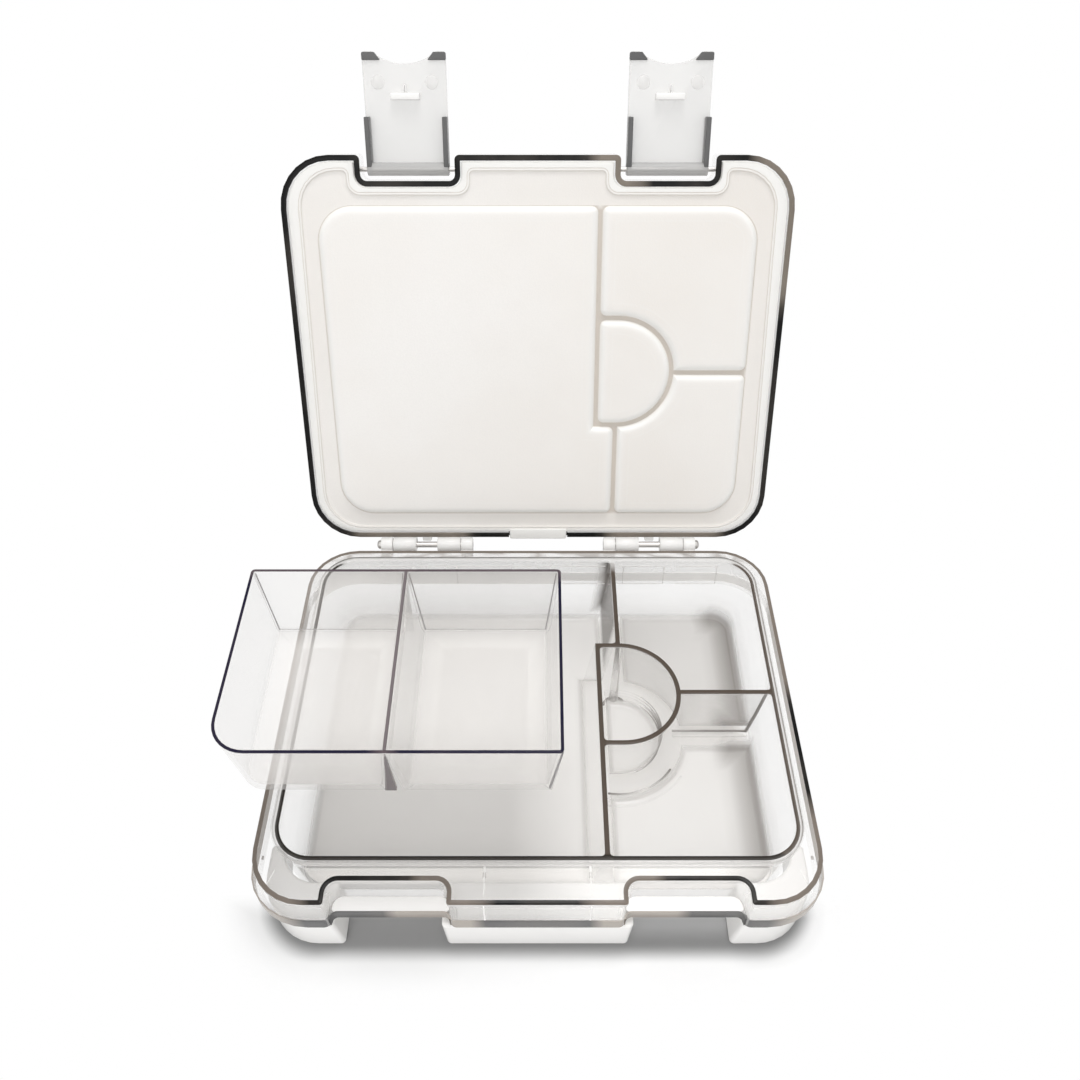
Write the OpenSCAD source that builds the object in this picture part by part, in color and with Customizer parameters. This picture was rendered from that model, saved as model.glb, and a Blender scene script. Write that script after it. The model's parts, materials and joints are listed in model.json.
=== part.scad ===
// Bento lunch box: clear case, lift-out trays, hinged lid with a soft seal and two latches.
// Millimetres, +Z up. The origin is the centre of the face the case rests on, the front faces -Y.

/* [Case] */
// Width of the case at its rim
case_w = 220; // [200:1:260]
// Depth of the case over its belt
case_d = 176; // [160:1:220]
// Height of the case, up to the plane where the lid meets it
case_h = 42; // [38:0.5:60]
// Radius of the upright corners
case_corner_r = 22; // [18:0.5:30]
// Thickness of the outer skirt
skirt_wall = 2.2; // [1.6:0.1:3]
// Height of the skirt, from its lower edge to the rim
skirt_h = 22.8; // [20:0.2:30]
// Height of the belt at the foot of the skirt
belt_h = 6.5; // [3:0.1:8]
// Height of the lip at the rim
rim_lip_h = 2; // [1:0.1:4]
// How far belt and lip stand out from the skirt
belt_proud = 0.5; // [0.2:0.1:1]
// How far the sides lean out from the rim down to the belt
belt_flare = 4; // [0:0.1:6]
// Thickness of the ledge between skirt and tub
ledge_t = 3; // [2:0.1:4]
// Width of the ledge at the sides
ledge_side = 5.5; // [5:0.1:9]
// Width of the ledge at the back
ledge_back = 4.6; // [4.6:0.1:9]
// Width of the ledge at the front
ledge_front = 15.9; // [15:0.1:24]
// Thickness of the tub's walls
tub_wall = 1.8; // [1.4:0.1:2.4]
// Thickness of the tub's floor
tub_floor = 2.3; // [1.6:0.1:4]
// How far a lobe reaches under the recess beside it
lobe_under = 3; // [0:0.1:3.4]
// How far a corner lobe runs back along the side
lobe_side_l = 43; // [30:1:60]

/* [Latch recess] */
// Place of a latch and of a hinge, in per cent of the way from the middle to the side
station_at = 50; // [48:0.5:54]
// Inner edge of a recess, from the latch's middle
recess_in = 21; // [18:0.5:23]
// Outer edge of a recess, from the latch's middle
recess_out = 25; // [18:0.5:26]
// Depth of a recess at the rim
recess_depth = 9.3; // [9:0.1:11]
// Top of the catch shelf, below the rim
shelf_drop = 16.6; // [16:0.1:20]
// Thickness of the catch shelf
shelf_t = 5; // [2.5:0.1:6]
// How far the catch shelf stays behind the front face
shelf_back = 3.6; // [3:0.1:5]

/* [Compartment tray] */
// Height of the tray's rim above the case's rim
tray_proud = 0.6; // [0.2:0.1:1]
// Depth of the compartments below the case's rim
tray_depth = 38; // [30:0.5:54]
// Thickness of the tray's walls
tray_wall = 1.5; // [1:0.1:2]
// Thickness of the tray's rim
tray_rim_t = 2; // [1.5:0.1:3]
// Width of the tray's rim
tray_rim_w = 2.8; // [2.4:0.1:4]
// Radius of the rim's corners
tray_corner_r = 17; // [12:0.5:22]
// How far a wall leans in from rim to floor
tray_draft = 4.4; // [2:0.1:7]
// Thickness of a divider at its top
divider_t = 2; // [1.6:0.1:3]
// Front divider and flat side of the round cup, in per cent of the way from the middle to the side
front_divider_at = 24.5; // [10:0.5:36]
// Rear divider and centre of the round cup, from the front divider
rear_divider_step = 9.3; // [6:0.1:14]
// Cross divider, and the centre of the round cup, from the case's middle
cross_divider_y = 5.2; // [-10:0.1:20]
// Radius of the round cup at the rim
cup_r = 24; // [18:0.5:28]
// Corner radius where a compartment meets a divider
divider_corner_r = 1.5; // [1:0.1:3]

/* [Insert tray] */
// Width of the insert tray at its rim
insert_w = 120.7; // [90:0.1:121]
// Depth of the insert tray at its rim, front to back
insert_d = 80.8; // [60:0.1:95]
// Drop of the insert's rim below the case's rim
insert_drop = 3.4; // [2.5:0.1:6]
// Thickness of the insert's walls
insert_wall = 1.6; // [1:0.1:2]
// Thickness of the insert's divider at its top
insert_divider_t = 2; // [1.6:0.1:3]
// Corner radius of the insert's square corners
insert_corner_r = 1.6; // [1:0.1:3]
// Gap between insert and compartment
insert_clear = 0.4; // [0.3:0.1:1]
// How high the insert tray is held above its seat
insert_lift = 73.4; // [45:0.1:90]
// How far to the left of its seat the insert tray is held
insert_left = 16; // [0:0.1:16.5]
// How far behind its seat the insert tray is held
insert_behind = 3.7; // [0:0.1:12]

/* [Lid] */
// Height of the lid
lid_h = 15; // [14:0.5:24]
// Thickness of the lid's wall at its edge
lid_wall = 2.3; // [1.8:0.1:3]
// Thickness of the lid's top
lid_top_t = 2; // [1.5:0.1:3]
// Chamfer round the lid's top
lid_chamfer = 3; // [1:0.1:4]
// Width of the shoulder that the seal sits against
shoulder_w = 3.7; // [2.5:0.1:5]
// Width of a latch notch in the lid
notch_w = 40; // [37:0.5:44]
// Depth of a latch notch in the lid
notch_depth = 10.3; // [9:0.1:12]
// How far the lid stands open, from closed
lid_open = 112.8; // [95:0.1:150]

/* [Seal] */
// Thickness of the seal at its edge
seal_t = 3.5; // [2:0.1:4]
// Thickness of the seal's thin middle
seal_sheet_t = 1.7; // [1.2:0.1:2]
// Face of the seal, inside the lid's rim plane
seal_face = 0.9; // [0.7:0.1:2]
// Height of the bead round the seal's edge
bead_h = 0.6; // [0.2:0.1:0.6]
// Width of the bead round the seal's edge
bead_w = 1.7; // [1:0.1:1.7]
// Height of the raised panels
panel_h = 2.5; // [1:0.1:3]
// Chamfer of the raised panels
panel_chamfer = 1; // [0.4:0.1:1.5]
// Panel margin inside the compartments at the sides
panel_side = 7.7; // [2:0.1:12]
// Panel margin inside the compartments at the back
panel_back = 6.6; // [2:0.1:12]
// Panel margin inside the compartments at the front
panel_front = 3; // [1:0.1:6]
// Panel margin beside a divider
panel_divider = 1.2; // [0.8:0.1:2.5]
// Width of the pull tab
tab_w = 28; // [15:0.5:40]
// How far the pull tab stands out behind the lid
tab_out = 1.2; // [0.5:0.1:2]
// Thickness of the pull tab
tab_t = 1.8; // [1:0.1:2.5]

/* [Hinges] */
// Radius of the knuckles
knuckle_r = 3.6; // [3:0.1:3.7]
// Gap between the knuckle's axis and the case's back
hinge_back = 4; // [4:0.1:5]
// Length of an outer knuckle, on the case
knuckle_outer_l = 5.8; // [4:0.1:8]
// Length of an inner knuckle, on the lid
knuckle_inner_l = 11.4; // [8:0.1:14]
// Open stretch in the middle of a hinge
hinge_gap = 10.4; // [8:0.1:14]
// Width of the lug in the open stretch
lug_w = 4.4; // [3:0.1:6]
// Radius of a hinge pin
hinge_pin_r = 1.5; // [1.2:0.1:1.8]
// Radius of a hinge pin's head
hinge_head_r = 2.3; // [2:0.1:3]
// Length of a hinge pin's head
hinge_head_l = 2.2; // [1.5:0.1:3]

/* [Latches] */
// Width of a latch
latch_w = 34.5; // [30:0.1:34.5]
// Length of a latch below its pivot
latch_l = 45; // [38:0.1:46]
// Thickness of a latch's plate
latch_t = 2.2; // [1.6:0.1:2.4]
// Radius of a latch's barrel
barrel_r = 2.6; // [2:0.1:3]
// Height of a latch's pivot above the rim plane
pivot_up = 5; // [4:0.1:8]
// Pivot of a latch, behind the front face
pivot_back = 6; // [5.5:0.1:6.4]
// Length of a latch's side cheeks, below the pivot
cheek_l = 20.5; // [10:0.1:21]
// Depth of a latch's side cheeks
cheek_d = 5.2; // [2:0.1:5.6]
// Thickness of a latch's side cheeks
cheek_t = 2; // [1.2:0.1:3]
// Width of the hook
hook_w = 12; // [8:0.5:24]
// Depth of the hook
hook_d = 2.6; // [1.5:0.1:3]
// Height of the hook
hook_h = 2.5; // [1.5:0.1:4]
// Radius of the finger cut at the latch's end
finger_r = 22; // [16:0.5:30]
// Depth of the finger cut at the latch's end
finger_depth = 4.5; // [2:0.1:8]
// Radius of a latch pin
latch_pin_r = 1; // [0.8:0.1:1.2]
// How far a latch pin goes into the lid's wall
latch_pin_in = 1.9; // [1.5:0.1:1.9]
// How far a latch stands open, from closed
latch_open = 90; // [70:1:120]

/* [Fits] */
// Gap between parts that lift out and what holds them
lift_clear = 0.4; // [0.3:0.05:0.8]
// Gap under the compartment tray
floor_gap = 0.1; // [0.05:0.05:0.5]
// Gap between neighbouring knuckles, and round a lug
knuckle_clear = 0.3; // [0.2:0.05:0.5]
// Radial gap of a pin that turns in its bore
turn_clear = 0.05; // [0.02:0.01:0.1]
// Radial gap of a pin that is held in its bore
hold_clear = 0.02; // [0.01:0.01:0.05]

/* [Hidden] */
$fn = 48;
// Steps in a rounded corner and in the round cup
corner_steps = 7;
tight_steps = 2;
cup_steps = 16;
// Corners below this radius take the fewer steps
tight_r = 4;
// Cuts run this far past a face
past = 1;
// Smallest radius left when a corner is drawn in
least_r = 0.4;
// Colours as the photo shows them
clear_tint = [0.91, 0.9, 0.88];
insert_tint = [0.86, 0.86, 0.9];
seal_white = [0.95, 0.94, 0.92];
latch_grey = [0.8, 0.8, 0.8];
steel = [0.7, 0.7, 0.72];
// Case
half_w = case_w / 2;
half_d = case_d / 2;
station_x = half_w * station_at / 100;
lobe_half_w = station_x - recess_in + lobe_under;
lobe_corner_x = station_x + recess_out - lobe_under;
skirt_z = case_h - skirt_h;
recess_end = station_x + recess_out;
shelf_top = case_h - shelf_drop;
shelf_low = shelf_top - shelf_t;
shelf_y = -half_d + shelf_back;
// Compartment tray, outer rim then inner edge
rim_x = half_w - ledge_side;
rim_front = -half_d + ledge_front;
rim_back = half_d - ledge_back;
in_x = rim_x - tray_rim_w;
in_front = rim_front + tray_rim_w;
in_back = rim_back - tray_rim_w;
in_r = tray_corner_r - tray_rim_w;
tray_top = case_h + tray_proud;
tray_floor_z = case_h - tray_depth;
tray_low = tub_floor + floor_gap;
front_divider_x = half_w * front_divider_at / 100;
rear_divider_x = front_divider_x + rear_divider_step;
left_x = front_divider_x - divider_t / 2;
front_x = front_divider_x + divider_t / 2;
step_x = rear_divider_x - divider_t / 2;
rear_x = rear_divider_x + divider_t / 2;
cross_back = cross_divider_y + divider_t / 2;
cross_front = cross_divider_y - divider_t / 2;
cup_c = [rear_divider_x, cross_divider_y];
bite_r = cup_r + divider_t;
// Tub, round the tray
tub_grow = tray_wall + lift_clear;
// Insert tray on its seat
insert_top = case_h - insert_drop;
insert_low = tray_floor_z + insert_clear;
insert_h = insert_top - insert_low;
insert_floor_in = draft_at(insert_low) - draft_at(insert_top);
insert_x1 = left_x - draft_at(insert_top) - insert_clear;
insert_x0 = insert_x1 - insert_w;
insert_y0 = in_front + draft_at(insert_top) + insert_clear;
insert_y1 = insert_y0 + insert_d;
insert_mid = (insert_x0 + insert_x1) / 2;
insert_r = in_r - draft_at(insert_top) - insert_clear;
// Lid and seal, drawn closed
lid_top = case_h + lid_h;
seal_in = lid_wall + lift_clear;
seal_z = case_h + seal_face;
seal_back_z = seal_z + seal_t;
pocket_z = seal_back_z + floor_gap;
notch_y = -half_d + notch_depth;
// Hinges
hinge_y = half_d + hinge_back;
inner_from = hinge_gap / 2;
outer_from = inner_from + knuckle_inner_l + knuckle_clear;
hinge_half = outer_from + knuckle_outer_l;
web_from = hinge_back + lid_wall / 2;
// Latches, drawn closed on a closed lid
pivot_y = -half_d + pivot_back;
pivot_z = case_h + pivot_up;
plate_in = shelf_y - lift_clear;
plate_out = plate_in - latch_t;
hook_top = shelf_low - lift_clear;
latch_end = pivot_z - latch_l;
latch_pin_l = notch_w + 2 * latch_pin_in;

// How far a tray wall has leaned in at a height
function draft_at(z) = tray_draft * (tray_top - z) / (tray_top - tray_floor_z);
// A radius drawn in by a distance
function less(r, i) = max(r - i, least_r);
// Points of an arc
function arc(c, r, a0, a1, n) =
    [for (k = [0:n]) c + r * [cos(a0 + (a1 - a0) * k / n), sin(a0 + (a1 - a0) * k / n)]];
// A rounded corner drawn in by a distance: 0 front left, 1 front right, 2 back right, 3 back left
function corner(x, y, full_r, i, q) =
    let (sx = q == 0 || q == 3 ? 1 : -1, sy = q < 2 ? 1 : -1, r = less(full_r, i))
    arc(
        [x + sx * (i + r), y + sy * (i + r)], r, 180 + 90 * q, 270 + 90 * q,
        full_r < tight_r ? tight_steps : corner_steps
    );
// A rectangle with four corner radii, drawn in by a distance
function box_outline(x0, x1, y0, y1, r, i) = concat(
    corner(x0, y0, r[0], i, 0),
    corner(x1, y0, r[1], i, 1),
    corner(x1, y1, r[2], i, 2),
    corner(x0, y1, r[3], i, 3)
);
// The case's plain outline, without recesses
function plain_outline(i) =
    box_outline(-half_w, half_w, -half_d, half_d, [for (k = [0:3]) case_corner_r], i);
// One notch in a front edge, from left to right
function notch(x0, x1, y, i) = [
    [x0 - i, -half_d + i], [x0 - i, y + i], [x1 + i, y + i], [x1 + i, -half_d + i]
];
// The plain outline with two mirrored notches in its front edge
function notched(near, far, y, i) = concat(
    corner(-half_w, -half_d, case_corner_r, i, 0),
    notch(-station_x - far, -station_x + near, y, i),
    notch(station_x - near, station_x + far, y, i),
    corner(half_w, -half_d, case_corner_r, i, 1),
    corner(half_w, half_d, case_corner_r, i, 2),
    corner(-half_w, half_d, case_corner_r, i, 3)
);
function lid_outline(i) = notched(notch_w / 2, notch_w / 2, notch_y, i);
// The plain outline at the belt, spread to the sides from the recesses on
function spread(x) = sign(x) * belt_flare * max(0, abs(x) - recess_end) / (half_w - recess_end);
function belt_outline(i) = [for (p = plain_outline(i)) [p[0] + spread(p[0]), p[1]]];
// The compartment tray's inner edge as one rectangle
function tray_outline(i) =
    box_outline(-in_x, in_x, in_front, in_back, [for (k = [0:3]) in_r], i);
// The four compartments. Margins m are side, back, front and divider.
no_margin = [0, 0, 0, 0];
function left_outline(i, m = no_margin) =
    let (step_y = cross_divider_y + bite_r + m[3], wide_x = step_x - m[3])
    concat(
        corner(-in_x + m[0], in_front + m[2], in_r, i, 0),
        corner(left_x - m[3], in_front + m[2], divider_corner_r, i, 1),
        [[left_x - m[3] - i, step_y + i]],
        corner(wide_x, step_y, divider_corner_r, i, 1),
        corner(wide_x, in_back - m[1], divider_corner_r, i, 2),
        corner(-in_x + m[0], in_back - m[1], in_r, i, 3)
    );
function rear_outline(i, m = no_margin) =
    let (
        x = rear_x + m[3],
        y = cross_back + m[3],
        r = bite_r + m[3] + i,
        top = acos((x + i - cup_c[0]) / r),
        low = asin((y + i - cup_c[1]) / r)
    )
    concat(
        corner(in_x - m[0], y, divider_corner_r, i, 1),
        corner(in_x - m[0], in_back - m[1], in_r, i, 2),
        corner(x, in_back - m[1], divider_corner_r, i, 3),
        arc(cup_c, r, top, low, cup_steps)
    );
function front_outline(i, m = no_margin) =
    let (
        x = front_x + m[3],
        y = cross_front - m[3],
        r = bite_r + m[3] + i,
        top = asin((y - i - cup_c[1]) / r)
    )
    concat(
        corner(x, in_front + m[2], divider_corner_r, i, 0),
        corner(in_x - m[0], in_front + m[2], in_r, i, 1),
        corner(in_x - m[0], y, divider_corner_r, i, 2),
        arc(cup_c, r, top, -90, cup_steps),
        corner(x, cup_c[1] - bite_r - m[3], divider_corner_r, i, 3)
    );
function cup_outline(i, m = no_margin) =
    let (x = front_x + m[3], r = cup_r - m[3])
    concat(
        corner(x, cup_c[1] - r, divider_corner_r, i, 0),
        arc(cup_c, r - i, -90, 90, cup_steps),
        corner(x, cup_c[1] + r, divider_corner_r, i, 3)
    );
// The insert tray: its left half or its right half, square but for the front left corner
function insert_outline(x0, x1, r_front_left, i) = box_outline(
    x0, x1, insert_y0, insert_y1,
    [r_front_left, insert_corner_r, insert_corner_r, insert_corner_r], i
);

// A straight prism between two heights
module prism(points, z0, z1) {
    translate([0, 0, z0]) linear_extrude(z1 - z0) polygon(points);
}

// A wall that leans, between two outlines with the same number of points
module loft(low, high, z0, z1) {
    n = len(low);
    polyhedron(
        points = concat(
            [for (p = low) [p[0], p[1], z0]],
            [for (p = high) [p[0], p[1], z1]]
        ),
        faces = concat(
            [[for (k = [0:n - 1]) k]],
            [for (k = [0:n - 1]) [k, n + k, n + (k + 1) % n]],
            [for (k = [0:n - 1]) [k, n + (k + 1) % n, (k + 1) % n]],
            [[for (k = [n - 1:-1:0]) n + k]]
        )
    );
}

// A rod along X, centred
module rod(r, l) {
    rotate([0, 90, 0]) cylinder(r = r, h = l, center = true);
}

// Children drawn on a closed lid are swung to where the lid stands
module on_open_lid() {
    translate([0, hinge_y, case_h])
        rotate([-lid_open, 0, 0])
            translate([0, -hinge_y, -case_h])
                children();
}

// A knuckle on the hinge line with the web that carries it, up for the lid, down for the case
module knuckle(from, l, up) {
    web_h = knuckle_r - knuckle_clear;
    translate([from + l / 2, hinge_y, case_h]) {
        rod(knuckle_r, l);
        translate([-l / 2, -web_from, up ? knuckle_clear : -knuckle_r])
            cube([l, web_from, web_h]);
    }
}

// The two latch recesses, grown by a distance
module recesses(grow) {
    for (side = [0, 1])
        mirror([side, 0, 0])
            translate([station_x - recess_in - grow, -case_d, -past])
                cube([
                    recess_in + recess_out + 2 * grow,
                    case_d - half_d + recess_depth + grow,
                    case_h + 2 * past
                ]);
}

// The outer skirt, leaning out to its belt, with its lip and its two latch recesses
module skirt() {
    inner = skirt_wall + belt_proud;
    belt_z = skirt_z + belt_h;
    lip_z = case_h - rim_lip_h;
    difference() {
        union() {
            prism(belt_outline(0), skirt_z, belt_z);
            difference() {
                loft(belt_outline(belt_proud), plain_outline(belt_proud), belt_z, lip_z);
                recesses(belt_proud);
            }
            prism(plain_outline(0), lip_z, case_h);
        }
        recesses(0);
        difference() {
            loft(belt_outline(inner), plain_outline(inner), skirt_z - past, case_h - ledge_t);
            recesses(inner);
        }
    }
}

// A hollow lobe below the belt, between two distances from the middle and back to a depth
module lobe(x0, x1, y1) {
    intersection() {
        difference() {
            prism(plain_outline(belt_proud), 0, skirt_z + belt_h / 2);
            difference() {
                prism(plain_outline(belt_proud + skirt_wall), tub_floor, case_h);
                lobe_ends(x0, x1, y1);
            }
        }
        translate([x0, -case_d, -past]) cube([x1 - x0, case_d + y1, case_h]);
    }
}

// The walls that close a lobe at its sides and its back
module lobe_ends(x0, x1, y1) {
    difference() {
        translate([x0, -case_d, 0]) cube([x1 - x0, case_d + y1, case_h]);
        translate([x0 + skirt_wall, -case_d, -past])
            cube([x1 - x0 - 2 * skirt_wall, case_d + y1 - skirt_wall, case_h + 2 * past]);
    }
}

// The catch shelf across a recess, on the left (-1) or on the right (1)
module shelf(s) {
    inner_x = station_x - recess_in - skirt_wall / 2;
    shelf_w = recess_in + recess_out + skirt_wall;
    translate([s > 0 ? inner_x : -inner_x - shelf_w, shelf_y, shelf_low])
        cube([shelf_w, recess_depth - shelf_back + skirt_wall / 2, shelf_t]);
}

module case() {
    color(clear_tint) difference() {
        union() {
            skirt();
            loft(
                tray_outline(tray_draft - tub_grow - tub_wall),
                tray_outline(-tub_grow - tub_wall),
                0, case_h - ledge_t / 2
            );
            lobe(-lobe_half_w, lobe_half_w, in_front);
            lobe(-case_w, -lobe_corner_x, -half_d + lobe_side_l);
            lobe(lobe_corner_x, case_w, -half_d + lobe_side_l);
            for (s = [-1, 1]) {
                shelf(s);
                translate([s * station_x, 0, 0])
                    for (from = [-hinge_half, outer_from])
                        knuckle(from, knuckle_outer_l, false);
            }
        }
        loft(
            tray_outline(tray_draft - tub_grow), tray_outline(-tub_grow),
            tub_floor, case_h + past
        );
        prism(tray_outline(-tray_rim_w - lift_clear), tray_top - tray_rim_t - floor_gap, case_h + past);
        translate([0, hinge_y, case_h]) rod(hinge_pin_r + hold_clear, case_w);
    }
}

// The hollow under a divider, seen end on: widest at the tray's foot, closed below its rim
function hollow_outline() =
    let (
        half = divider_t / 2 + draft_at(tray_low) - tray_wall,
        apex = tray_top - (tray_wall - divider_t / 2) / tray_draft * (tray_top - tray_floor_z)
    )
    [[-half, tray_low - past], [half, tray_low - past], [half, tray_low], [0, apex], [-half, tray_low]];

// A hollow under a straight divider, along +Y from the origin
module hollow(l) {
    translate([0, l, 0]) rotate([90, 0, 0]) linear_extrude(l) polygon(hollow_outline());
}

// The hollows under the dividers and round the cup, each clear of the next
module hollows() {
    foot = tray_draft + tray_wall;
    ring_r = cup_r + divider_t / 2;
    front_from = in_front + foot;
    rear_from = cup_c[1] + ring_r + foot;
    cross_from = cup_c[0] + ring_r + foot;
    translate([front_divider_x, front_from, 0]) hollow(cup_c[1] + ring_r - front_from);
    translate([rear_divider_x, rear_from, 0]) hollow(in_back - foot - rear_from);
    translate([cross_from, cross_divider_y, 0]) rotate([0, 0, -90]) hollow(in_x - foot - cross_from);
    translate([cup_c[0], cup_c[1], 0])
        rotate([0, 0, -90])
            rotate_extrude(angle = 180)
                translate([ring_r, 0]) polygon(hollow_outline());
}

// The space of one compartment, from its floor to past the rim
module space(floor_points, rim_points) {
    loft(floor_points, rim_points, tray_floor_z, tray_top + past);
}

module compartment_tray() {
    over = tray_draft * past / (tray_top - tray_floor_z);
    color(clear_tint) difference() {
        union() {
            prism(tray_outline(-tray_rim_w), tray_top - tray_rim_t, tray_top);
            loft(
                tray_outline(tray_draft - tray_wall), tray_outline(-tray_wall),
                tray_low, tray_top - tray_rim_t / 2
            );
        }
        space(left_outline(tray_draft), left_outline(-over));
        space(rear_outline(tray_draft), rear_outline(-over));
        space(front_outline(tray_draft), front_outline(-over));
        space(cup_outline(tray_draft), cup_outline(-over));
        hollows();
    }
}

module insert_tray() {
    shared = insert_wall - insert_divider_t / 2;
    // Outer edges of the left and right half and the radius of its front left corner
    halves = [
        [insert_x0, insert_mid + shared, insert_r],
        [insert_mid - shared, insert_x1, insert_corner_r]
    ];
    over = insert_floor_in * past / insert_h;
    color(insert_tint) translate([-insert_left, insert_behind, insert_lift]) difference() {
        union() {
            for (h = halves)
                loft(
                    insert_outline(h[0], h[1], h[2], insert_floor_in),
                    insert_outline(h[0], h[1], h[2], 0),
                    insert_low, insert_top
                );
        }
        for (h = halves)
            loft(
                insert_outline(h[0], h[1], h[2], insert_floor_in + insert_wall),
                insert_outline(h[0], h[1], h[2], insert_wall - over),
                insert_low + insert_wall, insert_top + past
            );
    }
}

module lid_shell() {
    color(clear_tint) on_open_lid() difference() {
        union() {
            prism(plain_outline(0), case_h, lid_top - lid_chamfer);
            loft(plain_outline(0), plain_outline(lid_chamfer), lid_top - lid_chamfer, lid_top);
            for (s = [-1, 1])
                translate([s * station_x, 0, 0]) {
                    for (from = [-inner_from - knuckle_inner_l, inner_from])
                        knuckle(from, knuckle_inner_l, true);
                    translate([-lug_w / 2, hinge_y - web_from, case_h + knuckle_clear])
                        cube([lug_w, web_from - hinge_pin_r - knuckle_clear, knuckle_r - knuckle_clear]);
                }
        }
        for (s = [-1, 1])
            translate([s * station_x - notch_w / 2, -half_d - past, case_h - past])
                cube([notch_w, notch_depth + past, lid_h + 2 * past]);
        prism(lid_outline(lid_wall), case_h - past, pocket_z);
        prism(lid_outline(lid_wall + shoulder_w), case_h, lid_top - lid_top_t);
        translate([-tab_w / 2 - lift_clear, half_d - 2 * lid_wall, case_h - past])
            cube([tab_w + 2 * lift_clear, 3 * lid_wall, past + seal_face - bead_h + tab_t + lift_clear]);
        translate([0, hinge_y, case_h]) rod(hinge_pin_r + turn_clear, case_w);
        for (s = [-1, 1])
            translate([s * station_x, pivot_y, pivot_z])
                rod(latch_pin_r + hold_clear, latch_pin_l + 2 * hold_clear);
    }
}

// One raised panel of the seal, its edges leaning in towards its face
module panel(face_points, foot_points) {
    loft(face_points, foot_points, seal_z - panel_h, seal_z + seal_sheet_t / 2);
}

module lid_seal() {
    margin = [panel_side, panel_back, panel_front, panel_divider];
    color(seal_white) on_open_lid() union() {
        difference() {
            prism(lid_outline(seal_in), seal_z - bead_h, seal_back_z);
            prism(lid_outline(seal_in + bead_w), seal_z - bead_h - past, seal_z);
            prism(lid_outline(lid_wall + 2 * shoulder_w), seal_z + seal_sheet_t, seal_back_z + past);
        }
        panel(left_outline(panel_chamfer, margin), left_outline(0, margin));
        panel(rear_outline(panel_chamfer, margin), rear_outline(0, margin));
        panel(front_outline(panel_chamfer, margin), front_outline(0, margin));
        panel(cup_outline(panel_chamfer, margin), cup_outline(0, margin));
        translate([-tab_w / 2, half_d - seal_in - bead_w, seal_z - bead_h])
            cube([tab_w, seal_in + bead_w + tab_out, tab_t]);
    }
}

// A latch hanging closed, on the middle plane
module latch_closed() {
    difference() {
        union() {
            translate([0, pivot_y, pivot_z]) rod(barrel_r, latch_w);
            translate([-latch_w / 2, plate_out, pivot_z - barrel_r])
                cube([latch_w, pivot_y - plate_out, 2 * barrel_r]);
            translate([-latch_w / 2, plate_out, latch_end])
                cube([latch_w, latch_t, latch_l]);
            for (s = [-1, 1])
                translate([s * (latch_w - cheek_t) / 2 - cheek_t / 2, plate_out, pivot_z - cheek_l])
                    cube([cheek_t, latch_t + cheek_d, cheek_l]);
            translate([-hook_w / 2, plate_out, hook_top - hook_h])
                cube([hook_w, latch_t + hook_d, hook_h]);
        }
        translate([0, pivot_y, pivot_z]) rod(latch_pin_r + turn_clear, case_w);
        translate([0, plate_in + past, latch_end + finger_depth - finger_r])
            rotate([90, 0, 0]) cylinder(r = finger_r, h = latch_t + 2 * past);
    }
}

module latch(s) {
    color(latch_grey) on_open_lid()
        translate([s * station_x, pivot_y, pivot_z])
            rotate([-latch_open, 0, 0])
                translate([0, -pivot_y, -pivot_z])
                    latch_closed();
}

module latch_pin(s) {
    color(steel) on_open_lid()
        translate([s * station_x, pivot_y, pivot_z])
            rod(latch_pin_r, latch_pin_l);
}

// A steel pin along the hinge line, with its head at the outer end
module hinge_pin(s) {
    color(steel) translate([s * station_x, hinge_y, case_h])
        rotate([0, s * 90, 0]) {
            translate([0, 0, -hinge_half])
                cylinder(r = hinge_pin_r, h = 2 * hinge_half + hinge_head_l / 2);
            translate([0, 0, hinge_half + hold_clear])
                cylinder(r = hinge_head_r, h = hinge_head_l / 3);
            translate([0, 0, hinge_half + hold_clear + hinge_head_l / 3])
                cylinder(r1 = hinge_head_r, r2 = hinge_head_r / 2, h = hinge_head_l * 2 / 3);
        }
}

case();
compartment_tray();
insert_tray();
lid_shell();
lid_seal();
latch(-1);  // left_latch
latch(1);  // right_latch
latch_pin(-1);  // left_latch_pin
latch_pin(1);  // right_latch_pin
hinge_pin(-1);  // left_hinge_pin
hinge_pin(1);  // right_hinge_pin
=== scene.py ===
"""Looks of a clear bento lunch box: moulded case, two lift-out trays, lid with a soft seal, latches and pins.

Sizes are in millimetres and are turned into metres where a mesh is made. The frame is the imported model's:
+Z up, the front with the latches faces -Y, z = 0 is the face that the case rests on.
"""

import json
import logging
from dataclasses import dataclass, field
from enum import Enum
from typing import Callable, Sequence

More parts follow.
